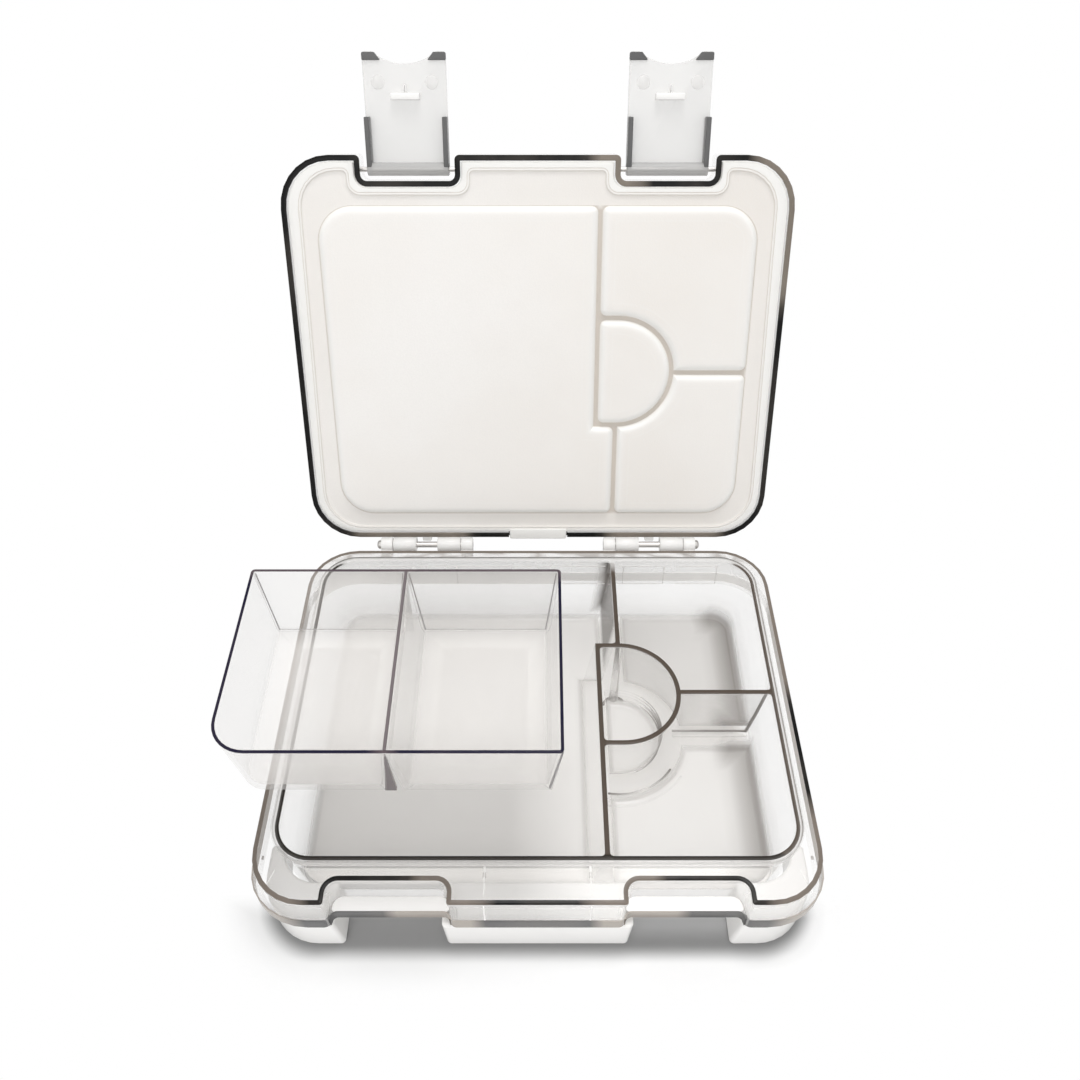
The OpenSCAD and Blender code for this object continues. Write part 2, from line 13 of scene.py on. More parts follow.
import bmesh
import bpy
import numpy as np
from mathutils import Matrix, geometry

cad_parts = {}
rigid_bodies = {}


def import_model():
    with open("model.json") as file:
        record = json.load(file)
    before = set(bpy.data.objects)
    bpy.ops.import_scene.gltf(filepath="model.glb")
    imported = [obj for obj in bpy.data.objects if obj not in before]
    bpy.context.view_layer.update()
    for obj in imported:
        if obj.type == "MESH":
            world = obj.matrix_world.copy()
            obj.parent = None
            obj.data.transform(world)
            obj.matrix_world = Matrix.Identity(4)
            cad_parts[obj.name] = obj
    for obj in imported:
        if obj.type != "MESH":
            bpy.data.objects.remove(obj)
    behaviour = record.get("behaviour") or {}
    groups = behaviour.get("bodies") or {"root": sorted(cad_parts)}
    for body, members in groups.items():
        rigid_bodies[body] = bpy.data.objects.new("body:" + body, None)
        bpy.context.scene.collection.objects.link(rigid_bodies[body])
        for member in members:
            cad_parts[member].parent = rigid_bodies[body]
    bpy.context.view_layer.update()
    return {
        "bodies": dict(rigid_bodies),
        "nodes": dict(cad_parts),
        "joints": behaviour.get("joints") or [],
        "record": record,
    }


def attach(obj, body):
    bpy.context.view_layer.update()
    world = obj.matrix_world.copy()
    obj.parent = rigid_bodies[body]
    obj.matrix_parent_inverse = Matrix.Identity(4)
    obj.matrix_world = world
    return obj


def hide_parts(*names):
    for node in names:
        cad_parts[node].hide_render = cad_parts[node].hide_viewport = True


LOG = logging.getLogger("lunch_box")
MM = 0.001
Colour = tuple[float, float, float]
Corner = tuple[float, float, float]
Ring = Callable[[float], np.ndarray]


class Side(Enum):
    """Which of the two mirrored latches or hinges."""

    LEFT = -1
    RIGHT = 1


class Room(Enum):
    """The tray's compartments, in the order in which they are drawn."""

    LEFT = "large left compartment"
    REAR = "rear right compartment"
    FRONT = "front right compartment"
    CUP = "round cup"


# Outlines and surfaces


def filled(ring: np.ndarray, base: np.ndarray, spacing: float = 6.0) -> np.ndarray:
    """A ring with more points on its long sides.

    Each side is cut into equal parts. The base ring says into how many, so rings of one outline keep one
    count.

    Args:
        ring: the ring's points.
        base: the same ring before it was drawn in.
        spacing: greatest distance of neighbours on the base.

    Returns:
        The points, the old ones included.
    """
    length = np.linalg.norm(np.roll(base, -1, 0) - base, axis=1)
    parts = np.maximum(1, np.ceil(length / spacing)).astype(int)
    index = np.repeat(np.arange(len(ring)), parts)
    share = (np.arange(len(index)) - np.repeat(np.cumsum(parts) - parts, parts)) / np.repeat(parts, parts)
    return ring[index] + share[:, None] * (np.roll(ring, -1, 0) - ring)[index]


@dataclass(frozen=True)
class Outline:
    """A closed polygon, counter-clockwise, with a rounded corner at every point."""

    points: np.ndarray
    radii: np.ndarray
    steps: int = 8
    least_r: float = 0.3

    def ring(self, inset: float) -> np.ndarray:
        """Points of the outline drawn in by a distance, with more points on long sides."""
        return filled(self.corners(inset), self.corners(0.0))

    def corners(self, inset: float) -> np.ndarray:
        """Points of the rounded corners of the outline drawn in by a distance.

        Each side moves along its inward normal and meets its neighbour in the moved corner. The corner's
        radius loses the inset where the outline bulges and gains it where the outline is cut in. The arc
        touches both sides and is sampled evenly in angle.

        Args:
            inset: distance to draw in, or out where negative.

        Returns:
            Array of (corners * steps, 2) points.
        """
        along = np.roll(self.points, -1, 0) - self.points
        along /= np.linalg.norm(along, axis=1, keepdims=True)
        normal = np.stack([-along[:, 1], along[:, 0]], 1)
        before = np.roll(normal, 1, 0)
        cosine = (before * normal).sum(1)
        sine = before[:, 0] * normal[:, 1] - before[:, 1] * normal[:, 0]
        bulge = np.where(np.abs(sine) < 1e-9, 0.0, np.sign(sine))
        meet = (before + normal) / (1.0 + cosine)[:, None]
        radius = np.maximum(self.radii - inset * bulge, self.least_r) * np.abs(bulge)
        centre = self.points + (inset + radius * bulge)[:, None] * meet
        start = np.arctan2(-bulge * before[:, 1], -bulge * before[:, 0])
        angle = start[:, None] + np.arctan2(sine, cosine)[:, None] * np.linspace(0, 1, self.steps)
        arcs = centre[:, None] + radius[:, None, None] * np.stack([np.cos(angle), np.sin(angle)], -1)
        return arcs.reshape(-1, 2)


def outline(corners: Sequence[Corner], steps: int = 8) -> Outline:
    """An outline from (x, y, corner radius) triples."""
    table = np.array(corners, float)
    return Outline(table[:, :2], table[:, 2], steps)


def rectangle(
    x0: float, x1: float, y0: float, y1: float, front_r: float, back_r: float | None = None
) -> list[Corner]:
    """Corners of a rectangle, counter-clockwise from the front left.

    Args:
        x0: left side.
        x1: right side.
        y0: front side.
        y1: back side.
        front_r: radius of the front corners.
        back_r: radius of the back corners, the same by default.

    Returns:
        The four corners.
    """
    back_r = front_r if back_r is None else back_r
    return [(x0, y0, front_r), (x1, y0, front_r), (x1, y1, back_r), (x0, y1, back_r)]


def mirrored(corners: Sequence[Corner]) -> list[Corner]:
    """Corners mirrored in X, turned round so that they stay counter-clockwise."""
    return [(-x, y, r) for x, y, r in corners[::-1]]


def raised(flat: np.ndarray, height: np.ndarray | float) -> np.ndarray:
    """Points of a plane with a height, one for all or one for each, as their third value."""
    return np.concatenate([flat, np.broadcast_to(height, flat.shape[:-1])[..., None]], -1)


def drawn_in(ring: Ring, insets: Sequence[float]) -> np.ndarray:
    """One ring for each inset, as rows of one array."""
    return np.stack([ring(inset) for inset in insets])


def rounded_foot(inset: float, floor: float, radius: float, angle: np.ndarray) -> np.ndarray:
    """A quarter circle that leads from a wall to a floor.

    Args:
        inset: inset of the wall where the circle starts.
        floor: height of the floor.
        radius: radius of the circle.
        angle: angles from the wall on.

    Returns:
        Rows of inset and height.
    """
    return np.column_stack([inset + radius * (1 - np.cos(angle)), floor + radius * (1 - np.sin(angle))])


def arc(centre: Sequence[float], radius: float, start: float, end: float, steps: int) -> np.ndarray:
    """Points of a circular arc between two angles in degrees."""
    angle = np.radians(np.linspace(start, end, steps))
    return np.asarray(centre, float) + radius * np.stack([np.cos(angle), np.sin(angle)], 1)


def inside(points: np.ndarray, ring: np.ndarray) -> np.ndarray:
    """Even-odd test: True where a ray to the right of a point crosses the ring an odd number of times.

    Args:
        points: points to test.
        ring: the closed ring.

    Returns:
        One truth value for each point.
    """
    low, high = ring, np.roll(ring, -1, 0)
    x, y = points[:, :1], points[:, 1:]
    spans = (low[:, 1] > y) != (high[:, 1] > y)
    rise = np.where(high[:, 1] == low[:, 1], 1e-12, high[:, 1] - low[:, 1])
    crossing = low[:, 0] + (y - low[:, 1]) / rise * (high[:, 0] - low[:, 0])
    return (spans & (x < crossing)).sum(1) % 2 == 1


def step(value: np.ndarray, low: float, high: float) -> np.ndarray:
    """0 at low, 1 at high, a smooth cubic in between; it falls where low is the larger."""
    t = np.clip((value - low) / (high - low), 0, 1)
    return t * t * (3 - 2 * t)


def swing(points: np.ndarray, y: float, z: float, degrees: float) -> np.ndarray:
    """Points turned about an axis along X through (y, z), by the right-hand rule.

    Args:
        points: points to turn.
        y: Y of the axis.
        z: Z of the axis.
        degrees: angle of the turn.

    Returns:
        The turned points.
    """
    turn = np.radians(degrees)
    dy, dz = points[..., 1] - y, points[..., 2] - z
    turned_y = y + dy * np.cos(turn) - dz * np.sin(turn)
    turned_z = z + dy * np.sin(turn) + dz * np.cos(turn)
    return np.stack([points[..., 0], turned_y, turned_z], -1)


class Shell:
    """Collects the grids and plates of one piece and makes one mesh of them.

    Three values ride on every point and drive the finish: a dark value, where the plastic is seen edge on and
    looks dark and in places is painted shade, a white value, where it is frosted and looks white and in
    places is a painted highlight, and tone, which turns a dark edge pale.
    """

    def __init__(self) -> None:
        """Start with no points and a dark tone everywhere."""
        self.tone: Callable[[np.ndarray], np.ndarray] = lambda points: np.zeros(len(points))
        self.points: list[np.ndarray] = []
        self.values: list[np.ndarray] = []
        self.loops: list[np.ndarray] = []
        self.sizes: list[np.ndarray] = []
        self.count = 0

    def _add(self, points: np.ndarray, thick: np.ndarray, haze: np.ndarray) -> int:
        """Store points with their values and return the index of the first.

        Args:
            points: points of any array shape.
            thick: their dark values.
            haze: their white values.

        Returns:
            The index of the first.
        """
        first = self.count
        flat = points.reshape(-1, 3)
        shape = points.shape[:-1]
        pair = np.stack([np.broadcast_to(thick, shape), np.broadcast_to(haze, shape)], -1)
        self.points.append(flat)
        self.values.append(np.column_stack([pair.reshape(-1, 2), self.tone(flat)]))
        self.count += len(flat)
        return first

    def _face(self, corners: np.ndarray) -> None:
        """Store faces, one a row of corner indices."""
        self.loops.append(corners.reshape(-1))
        self.sizes.append(np.full(len(corners), corners.shape[1]))

    def grid(
        self,
        points: np.ndarray,
        thick: np.ndarray | float = 0.0,
        haze: np.ndarray | float = 0.0,
        caps: tuple[bool, bool] = (False, False),
    ) -> None:
        """Add a surface on a grid whose rows are closed rings.

        Args:
            points: array of (rows, columns, 3) points.
            thick: dark value of each point, or one for all.
            haze: white value of each point, or one for all.
            caps: whether the first and the last ring are closed with a flat face.
        """
        rows, columns = points.shape[:2]
        first = self._add(points, np.asarray(thick, float), np.asarray(haze, float))
        index = first + np.arange(rows * columns).reshape(rows, columns)
        beside = np.roll(index, -1, 1)
        quads = np.stack([index[:-1], beside[:-1], beside[1:], index[1:]], -1)
        self._face(quads.reshape(-1, 4))
        for closed, ring in zip(caps, (index[0, ::-1], index[-1])):
            if closed:
                self._face(ring[None])

    def rows(
        self, ring: Ring, table: Sequence[Sequence[float]], caps: tuple[bool, bool] = (False, False)
    ) -> None:
        """Add a profile carried round an outline.

        Args:
            ring: gives the outline drawn in by a distance.
            table: one row for each profile point: inset, height, thick, haze.
            caps: whether the first and the last ring are closed.
        """
        profile = np.array(table, float)
        flat = drawn_in(ring, profile[:, 0])
        self.grid(raised(flat, profile[:, 1, None]), profile[:, 2, None], profile[:, 3, None], caps)

    def plate(
        self,
        rings: Sequence[np.ndarray],
        height: float,
        thick: Sequence[np.ndarray | float],
        haze: Sequence[float] | float = 0.0,
        holes: int | None = None,
    ) -> None:
        """Add a flat plate with holes.

        The rings are triangulated together. A triangle stays where its middle is inside the first ring and
        outside every hole.

        Args:
            rings: the outer ring, then the holes, then rings that only carry a value.
            height: height of the plate.
            thick: dark value of each ring, or of each of its points.
            haze: white value of the plate, or of each ring.
            holes: how many of the rings are holes, all but the first by default.
        """
        counts = [len(ring) for ring in rings]
        starts = np.cumsum([0, *counts[:-1]])
        edges = [np.stack([s + np.arange(n), s + (np.arange(n) + 1) % n], 1) for s, n in zip(starts, counts)]
        made = geometry.delaunay_2d_cdt(
            np.concatenate(rings).tolist(), np.concatenate(edges).tolist(), [], 0, 1e-7
        )
        flat = np.array([tuple(point) for point in made[0]])
        source = np.array([origin[0] if origin else 0 for origin in made[3]])
        triangles = np.array(made[2])
        middle = flat[triangles].mean(1)
        keep = inside(middle, rings[0])
        for hole in rings[1 : None if holes is None else 1 + holes]:
            keep &= ~inside(middle, hole)
        dark = np.concatenate([np.broadcast_to(value, count) for value, count in zip(thick, counts)])[source]
        white = np.repeat(np.broadcast_to(np.asarray(haze, float), len(counts)), counts)[source]
        first = self._add(raised(flat, height), dark, white)
        self._face(first + triangles[keep])

    def solid(
        self,
        ring: Ring,
        low: float,
        high: float,
        bevel: float,
        thick: Sequence[float],
        haze: float,
        place: Callable[[np.ndarray], np.ndarray] | None = None,
    ) -> None:
        """Add a closed prism with rounded edges.

        The edge is a quarter circle: the inset falls with the cosine and the height rises with the sine.

        Args:
            ring: gives the outline drawn in by a distance.
            low: lower end.
            high: upper end.
            bevel: radius of the rounded edges.
            thick: dark value at the lower edge, between the edges and at the upper edge.
            haze: white value.
            place: moves the finished points, if given.
        """
        angle = np.linspace(0, np.pi / 2, 4)
        inset = bevel * (1 - np.sin(angle))
        height = bevel * (1 - np.cos(angle))
        insets = np.concatenate([inset, inset[::-1]])
        heights = np.concatenate([low + height, high - height[::-1]])
        dark = np.repeat(np.array([thick[0], thick[1], thick[1], thick[2]]), [3, 1, 1, 3])
        flat = drawn_in(ring, insets)
        points = raised(flat, heights[:, None])
        self.grid(points if place is None else place(points), dark[:, None], haze, (True, True))

    def turned(
        self,
        profile: Sequence[tuple[float, float]],
        y: float,
        z: float,
        thick: float = 0.0,
        haze: float = 0.0,
    ) -> None:
        """Add a turned shape about an axis along X: each (x, radius) pair of the profile goes round a circle.

        Args:
            profile: pairs of X and radius.
            y: Y of the axis.
            z: Z of the axis.
            thick: dark value.
            haze: white value.
        """
        table = np.array(profile, float)
        angle = np.linspace(0, 2 * np.pi, 40, endpoint=False)
        x = np.broadcast_to(table[:, :1], (len(table), len(angle)))
        points = np.stack([x, y + table[:, 1:] * np.cos(angle), z + table[:, 1:] * np.sin(angle)], -1)
        self.grid(points, thick, haze, (True, True))

    def rod(
        self,
        path: Sequence[Sequence[float]] | np.ndarray,
        radius: np.ndarray | float,
        thick: np.ndarray | float = 0.0,
        haze: np.ndarray | float = 0.0,
    ) -> None:
        """Add a round rod along a path.

        At every point of the path a circle stands square to the path's direction; its axes come from the
        cross product with a slanted fixed direction.

        Args:
            path: points of the path.
            radius: radius at each point, or one for all.
            thick: dark value at each point, or one for all.
            haze: white value at each point, or one for all.
        """
        line = np.asarray(path, float)
        ahead = np.gradient(line, axis=0)
        aside = np.cross(ahead, (0.48, 0.6, 0.64))
        aside /= np.linalg.norm(aside, axis=1, keepdims=True)
        above = np.cross(aside, ahead)
        above /= np.linalg.norm(above, axis=1, keepdims=True)
        angle = np.linspace(0, 2 * np.pi, 8, endpoint=False)[None, :, None]
        circle = np.cos(angle) * aside[:, None] + np.sin(angle) * above[:, None]
        size, dark, white = (np.broadcast_to(value, len(line)) for value in (radius, thick, haze))
        self.grid(line[:, None] + size[:, None, None] * circle, dark[:, None], white[:, None], (True, True))

    def move(self, place: Callable[[np.ndarray], np.ndarray]) -> None:
        """Move everything collected so far."""
        self.points = [place(points) for points in self.points]

    def make(
        self, name: str, finish: bpy.types.Material, smooth: float = 40.0, casts: bool = True
    ) -> bpy.types.Object:
        """Make the mesh: close its seams, turn its faces outwards and shade it.

        Args:
            name: name of the piece.
            finish: its material.
            smooth: edges that turn by more than this many degrees stay sharp.
            casts: whether the piece casts a shadow; clear pieces let the light through.

        Returns:
            The new object, at the origin.
        """
        mesh = bpy.data.meshes.new(name)
        points = np.concatenate(self.points) * MM
        loops = np.concatenate(self.loops)
        sizes = np.concatenate(self.sizes)
        mesh.vertices.add(len(points))
        mesh.vertices.foreach_set("co", points.ravel())
        mesh.loops.add(len(loops))
        mesh.loops.foreach_set("vertex_index", loops)
        mesh.polygons.add(len(sizes))
        mesh.polygons.foreach_set("loop_start", np.concatenate([[0], np.cumsum(sizes)[:-1]]))
        mesh.polygons.foreach_set("loop_total", sizes)
        values = np.concatenate(self.values)
        for column, label in enumerate(("thick", "haze", "tone")):
            layer = mesh.attributes.new(label, "FLOAT", "POINT")
            layer.data.foreach_set("value", np.ascontiguousarray(values[:, column], np.float32))
        mesh.update(calc_edges=True)
        work = bmesh.new()
        work.from_mesh(mesh)
        bmesh.ops.remove_doubles(work, verts=work.verts, dist=1e-6)
        bmesh.ops.dissolve_degenerate(work, edges=work.edges, dist=1e-7)
        bmesh.ops.recalc_face_normals(work, faces=work.faces)
        work.to_mesh(mesh)
        work.free()
        mesh.shade_smooth()
        mesh.set_sharp_from_angle(angle=np.radians(smooth))
        mesh.materials.append(finish)
        piece = bpy.data.objects.new(name, mesh)
        piece.visible_shadow = casts
        bpy.context.scene.collection.objects.link(piece)
        return piece


# Finishes


class Graph:
    """A short way to lay out the nodes of one material."""

    def __init__(self, name: str) -> None:
        """Start a material with nothing but its output.

        Args:
            name: name of the material.
        """
        self.material = bpy.data.materials.new(name)
        self.material.use_nodes = True
        self.tree = self.material.node_tree
        self.tree.nodes.clear()
        self.output = self.tree.nodes.new("ShaderNodeOutputMaterial")

    def node(self, kind: str, **settings: object) -> bpy.types.Node:
        """Add a node and set its properties, each one named by a keyword.

        Args:
            kind: type of the node.
            settings: its properties.

        Returns:
            The node.
        """
        made = self.tree.nodes.new(kind)
        for key, value in settings.items():
            setattr(made, key, value)
        return made

    def feed(self, node: bpy.types.Node, **values: object) -> bpy.types.Node:
        """Set or link inputs by name, spaces written as underscores, or by number, as i0, i1 and so on.

        Args:
            node: node whose inputs are set.
            values: sockets to link or values to set.

        Returns:
            The same node.
        """
        for key, value in values.items():
            counted = key[0] == "i" and key[1:].isdigit()
            socket = node.inputs[int(key[1:])] if counted else node.inputs[key.replace("_", " ")]
            if isinstance(value, bpy.types.NodeSocket):
                self.tree.links.new(value, socket)
            else:
                socket.default_value = value
        return node

    def value(self, name: str) -> bpy.types.NodeSocket:
        """A value that rides on the mesh's points."""
        return self.node("ShaderNodeAttribute", attribute_name=name).outputs["Fac"]

    def place(self) -> bpy.types.NodeSocket:
        """Object coordinates."""
        return self.node("ShaderNodeTexCoord").outputs["Object"]

    def noise(self, scale: float, detail: float = 2.0, stretch: Colour = (1, 1, 1)) -> bpy.types.NodeSocket:
        """Smooth noise on object coordinates, features of about 1 / scale metres.

        Args:
            scale: how fine the noise is.
            detail: how many finer layers it has.
            stretch: scale along each axis.

        Returns:
            The noise, from 0 to 1.
        """
        mapping = self.feed(self.node("ShaderNodeMapping"), Vector=self.place(), Scale=stretch)
        made = self.node("ShaderNodeTexNoise")
        self.feed(made, Vector=mapping.outputs[0], Scale=scale, Detail=detail, Roughness=0.5)
        return made.outputs["Fac"]

    def ramp(
        self, source: bpy.types.NodeSocket, low: float, high: float, start: float = 0.0, end: float = 1.0
    ) -> bpy.types.NodeSocket:
        """A value moved from one range to another, smoothly and with clamped ends."""
        made = self.node("ShaderNodeMapRange", interpolation_type="SMOOTHSTEP")
        return self.feed(made, Value=source, i1=low, i2=high, i3=start, i4=end).outputs["Result"]

    def math(self, operation: str, first: object, second: object) -> bpy.types.NodeSocket:
        """One arithmetic step on two values, clamped to 0 and 1."""
        made = self.node("ShaderNodeMath", operation=operation, use_clamp=True)
        return self.feed(made, i0=first, i1=second).outputs[0]

    def mix(self, factor: object, first: object, second: object) -> bpy.types.NodeSocket:
        """One value faded into another."""
        made = self.node("ShaderNodeMix", data_type="FLOAT")
        return self.feed(made, i0=factor, i2=first, i3=second).outputs[0]

    def blend(self, factor: object, first: object, second: object) -> bpy.types.NodeSocket:
        """One colour faded into another.

        Args:
            factor: share of the second.
            first: a colour or its socket.
            second: a colour or its socket.

        Returns:
            The blended colour.
        """
        made = self.node("ShaderNodeMix", data_type="RGBA")
        first, second = ((*c, 1.0) if isinstance(c, tuple) else c for c in (first, second))
        return self.feed(made, i0=factor, i6=first, i7=second).outputs[2]

    def bump(self, height: bpy.types.NodeSocket, strength: float, distance: float) -> bpy.types.NodeSocket:
        """Fine relief of the surface."""
        made = self.node("ShaderNodeBump")
        return self.feed(made, Height=height, Strength=strength, Distance=distance).outputs[0]

    def finish(self, shader: bpy.types.Node) -> bpy.types.Material:
        """Send a shader to the output and return the material."""
        self.tree.links.new(shader.outputs[0], self.output.inputs["Surface"])
        return self.material


@dataclass(frozen=True)
class ClearPlastic:
    """Clear moulded plastic: faces are see-through, edges seen end on go dark, frosted parts go white, and
    marked places take painted shade and painted highlights.
    """

    name: str
    dark: Colour
    pale: Colour
    face: Colour = (0.93, 0.915, 0.895)
    milk: Colour = (0.9, 0.89, 0.875)
    face_alpha: float = 0.04
    thick_alpha: float = 1.0
    layers: int = 6
    roughness: float = 0.14
    shade: float = 0.0
    glow: float = 0.4

    def material(self) -> bpy.types.Material:
        """Nodes: the mesh's values pick colour and opacity, soft noise clouds faces and breaks the edges.

        Behind a number of clear layers rays are cut off and would look black, so there a face is opaque and
        the camera sees it glow, painted light in the milk colour as much as the light that clear layers let
        through.

        Returns:
            The material.
        """
        graph = Graph(self.name)
        thick, haze, tone = graph.value("thick"), graph.value("haze"), graph.value("tone")
        cloud = graph.noise(38.0, 3.0, (1, 1, 0.5))
        clear = graph.blend(cloud, self.face, tuple(0.95 * c for c in self.face))
        # white where the plastic is frosted, and a painted highlight where the white value marks one
        frosted = graph.blend(haze, clear, graph.blend(cloud, self.milk, tuple(0.97 * c for c in self.milk)))
        broken = graph.math("ADD", tone, graph.ramp(cloud, 0.3, 0.7, -0.08, 0.12))
        # dark where the plastic is seen end on, and painted shade where the dark value marks it
        colour = graph.blend(thick, frosted, graph.blend(broken, self.dark, self.pale))
        opacity = graph.mix(cloud, 0.6 * self.face_alpha, 1.4 * self.face_alpha)
        opacity = graph.mix(
            thick, graph.mix(haze, opacity, 1.0), graph.math("MAXIMUM", haze, self.thick_alpha)
        )
        rays = graph.node("ShaderNodeLightPath").outputs
        deep = graph.math("GREATER_THAN", rays["Transparent Depth"], self.layers - 0.5)
        opacity = graph.math("MAXIMUM", opacity, graph.math("SUBTRACT", deep, rays["Is Shadow Ray"]))
        opacity = graph.math("MAXIMUM", opacity, graph.math("MULTIPLY", rays["Is Shadow Ray"], self.shade))
        shader = graph.node("ShaderNodeBsdfPrincipled")
        rough = graph.mix(cloud, self.roughness, self.roughness + 0.1)
        ripple = graph.bump(graph.noise(70.0, 2.0), 0.08, 0.0004)
        gloss = graph.mix(thick, 0.25, 0.08)
        graph.feed(
            shader, Base_Color=colour, Roughness=rough, Alpha=opacity, Normal=ripple, Specular_IOR_Level=gloss
        )
        # painted light: for camera rays, faces deep behind clear layers glow in the milk colour
        glow = graph.math("MULTIPLY", graph.math("MULTIPLY", deep, rays["Is Camera Ray"]), self.glow)
        graph.feed(shader, Emission_Color=(*self.milk, 1.0), Emission_Strength=glow)
        return graph.finish(shader)


@dataclass(frozen=True)
class SoftSilicone:
    """Off-white silicone with a fine grain, ivory where the dark value marks the frame, taupe painted shade
    in the grooves, and white for the band and the tab and as painted highlights on the panels' edges.
    """

    name: str
    face: Colour
    groove_shade: Colour
    white: Colour
    roughness: float = 0.55

    def material(self) -> bpy.types.Material:
        """Nodes: the mesh's two values pick the colour, noise gives clouds and grain, the right is warmer.

        Returns:
            The material.
        """
        graph = Graph(self.name)
        cloud = graph.noise(14.0, 3.0)
        grain = graph.noise(1500.0, 2.0)
        across = graph.node("ShaderNodeSeparateXYZ")
        graph.feed(across, i0=graph.place())
        rightwards = graph.ramp(across.outputs["X"], -0.04, 0.06, 0.0, 0.55)
        warm = graph.math("ADD", graph.ramp(cloud, 0.35, 0.65, 0.0, 0.45), rightwards)
        face = graph.blend(warm, self.face, (0.94 * self.face[0], 0.92 * self.face[1], 0.895 * self.face[2]))
        face = graph.blend(graph.ramp(grain, 0.3, 0.7, 0.0, 0.35), face, tuple(0.93 * c for c in self.face))
        # painted shade: the dark value turns the grooves and the frame near them taupe
        toned = graph.blend(graph.value("thick"), face, self.groove_shade)
        # white: the band's and the tab's own colour, and a painted highlight on the panels' rounded edges
        colour = graph.blend(graph.value("haze"), toned, self.white)
        shader = graph.node("ShaderNodeBsdfPrincipled")
        rough = graph.mix(cloud, self.roughness - 0.05, self.roughness + 0.08)
        graph.feed(shader, Base_Color=colour, Roughness=rough, Normal=graph.bump(grain, 0.25, 0.0002))
        return graph.finish(shader)


@dataclass(frozen=True)
class DrawnSteel:
    """Drawn steel wire: fine lines along X, a little duller in places."""

    name: str
    colour: Colour
    roughness: float = 0.26

    def material(self) -> bpy.types.Material:
        """Nodes: noise stretched along X streaks colour, roughness and relief.

        Returns:
            The material.
        """
        graph = Graph(self.name)
        lines = graph.noise(900.0, 3.0, (0.06, 1, 1))
        shader = graph.node("ShaderNodeBsdfPrincipled")
        colour = graph.blend(lines, self.colour, tuple(0.7 * c for c in self.colour))
        rough = graph.mix(lines, self.roughness, self.roughness + 0.2)
        relief = graph.bump(lines, 0.15, 0.0001)
        graph.feed(shader, Base_Color=colour, Roughness=rough, Metallic=1.0, Normal=relief)
        return graph.finish(shader)


@dataclass(frozen=True)
class Finishes:
    """The materials of the box, made once."""

    case: bpy.types.Material
    belt: bpy.types.Material
    tray: bpy.types.Material
    insert: bpy.types.Material
    lid: bpy.types.Material
    latch: bpy.types.Material
    seal: bpy.types.Material
    steel: bpy.types.Material

    @staticmethod
    def make() -> "Finishes":
        """Mix all finishes.

        Returns:
            The finishes.
        """
        ivory: Colour = (0.88, 0.855, 0.83)
        smoke: Colour = (0.86, 0.85, 0.835)
        bright: Colour = (0.95, 0.94, 0.925)
        case = ClearPlastic("case_clear_plastic", (0.008, 0.008, 0.008), (0.2, 0.17, 0.145), milk=bright)
        belt = ClearPlastic("case_belt_plastic", (0.15, 0.15, 0.15), (0.46, 0.42, 0.38))
        tray = ClearPlastic(
            "tray_clear_plastic", (0.022, 0.018, 0.014), (0.09, 0.071, 0.057), milk=(0.8, 0.785, 0.765)
        )
        insert = ClearPlastic(
            "insert_clear_plastic", (0.01, 0.009, 0.028), (0.12, 0.092, 0.1), ivory, ivory, shade=0.7
        )
        lid = ClearPlastic("lid_clear_plastic", (0.01, 0.01, 0.01), (0.22, 0.19, 0.16))
        latch = ClearPlastic(
            "latch_clear_plastic", (0.12, 0.12, 0.12), (0.3, 0.29, 0.28), smoke, face_alpha=0.12
        )
        seal = SoftSilicone("seal_silicone", (0.88, 0.86, 0.835), (0.5, 0.44, 0.375), (0.86, 0.85, 0.825))
        steel = DrawnSteel("pin_steel", (0.62, 0.6, 0.58))
        made = [finish.material() for finish in (case, belt, tray, insert, lid, latch, seal, steel)]
        return Finishes(*made)


# The pieces


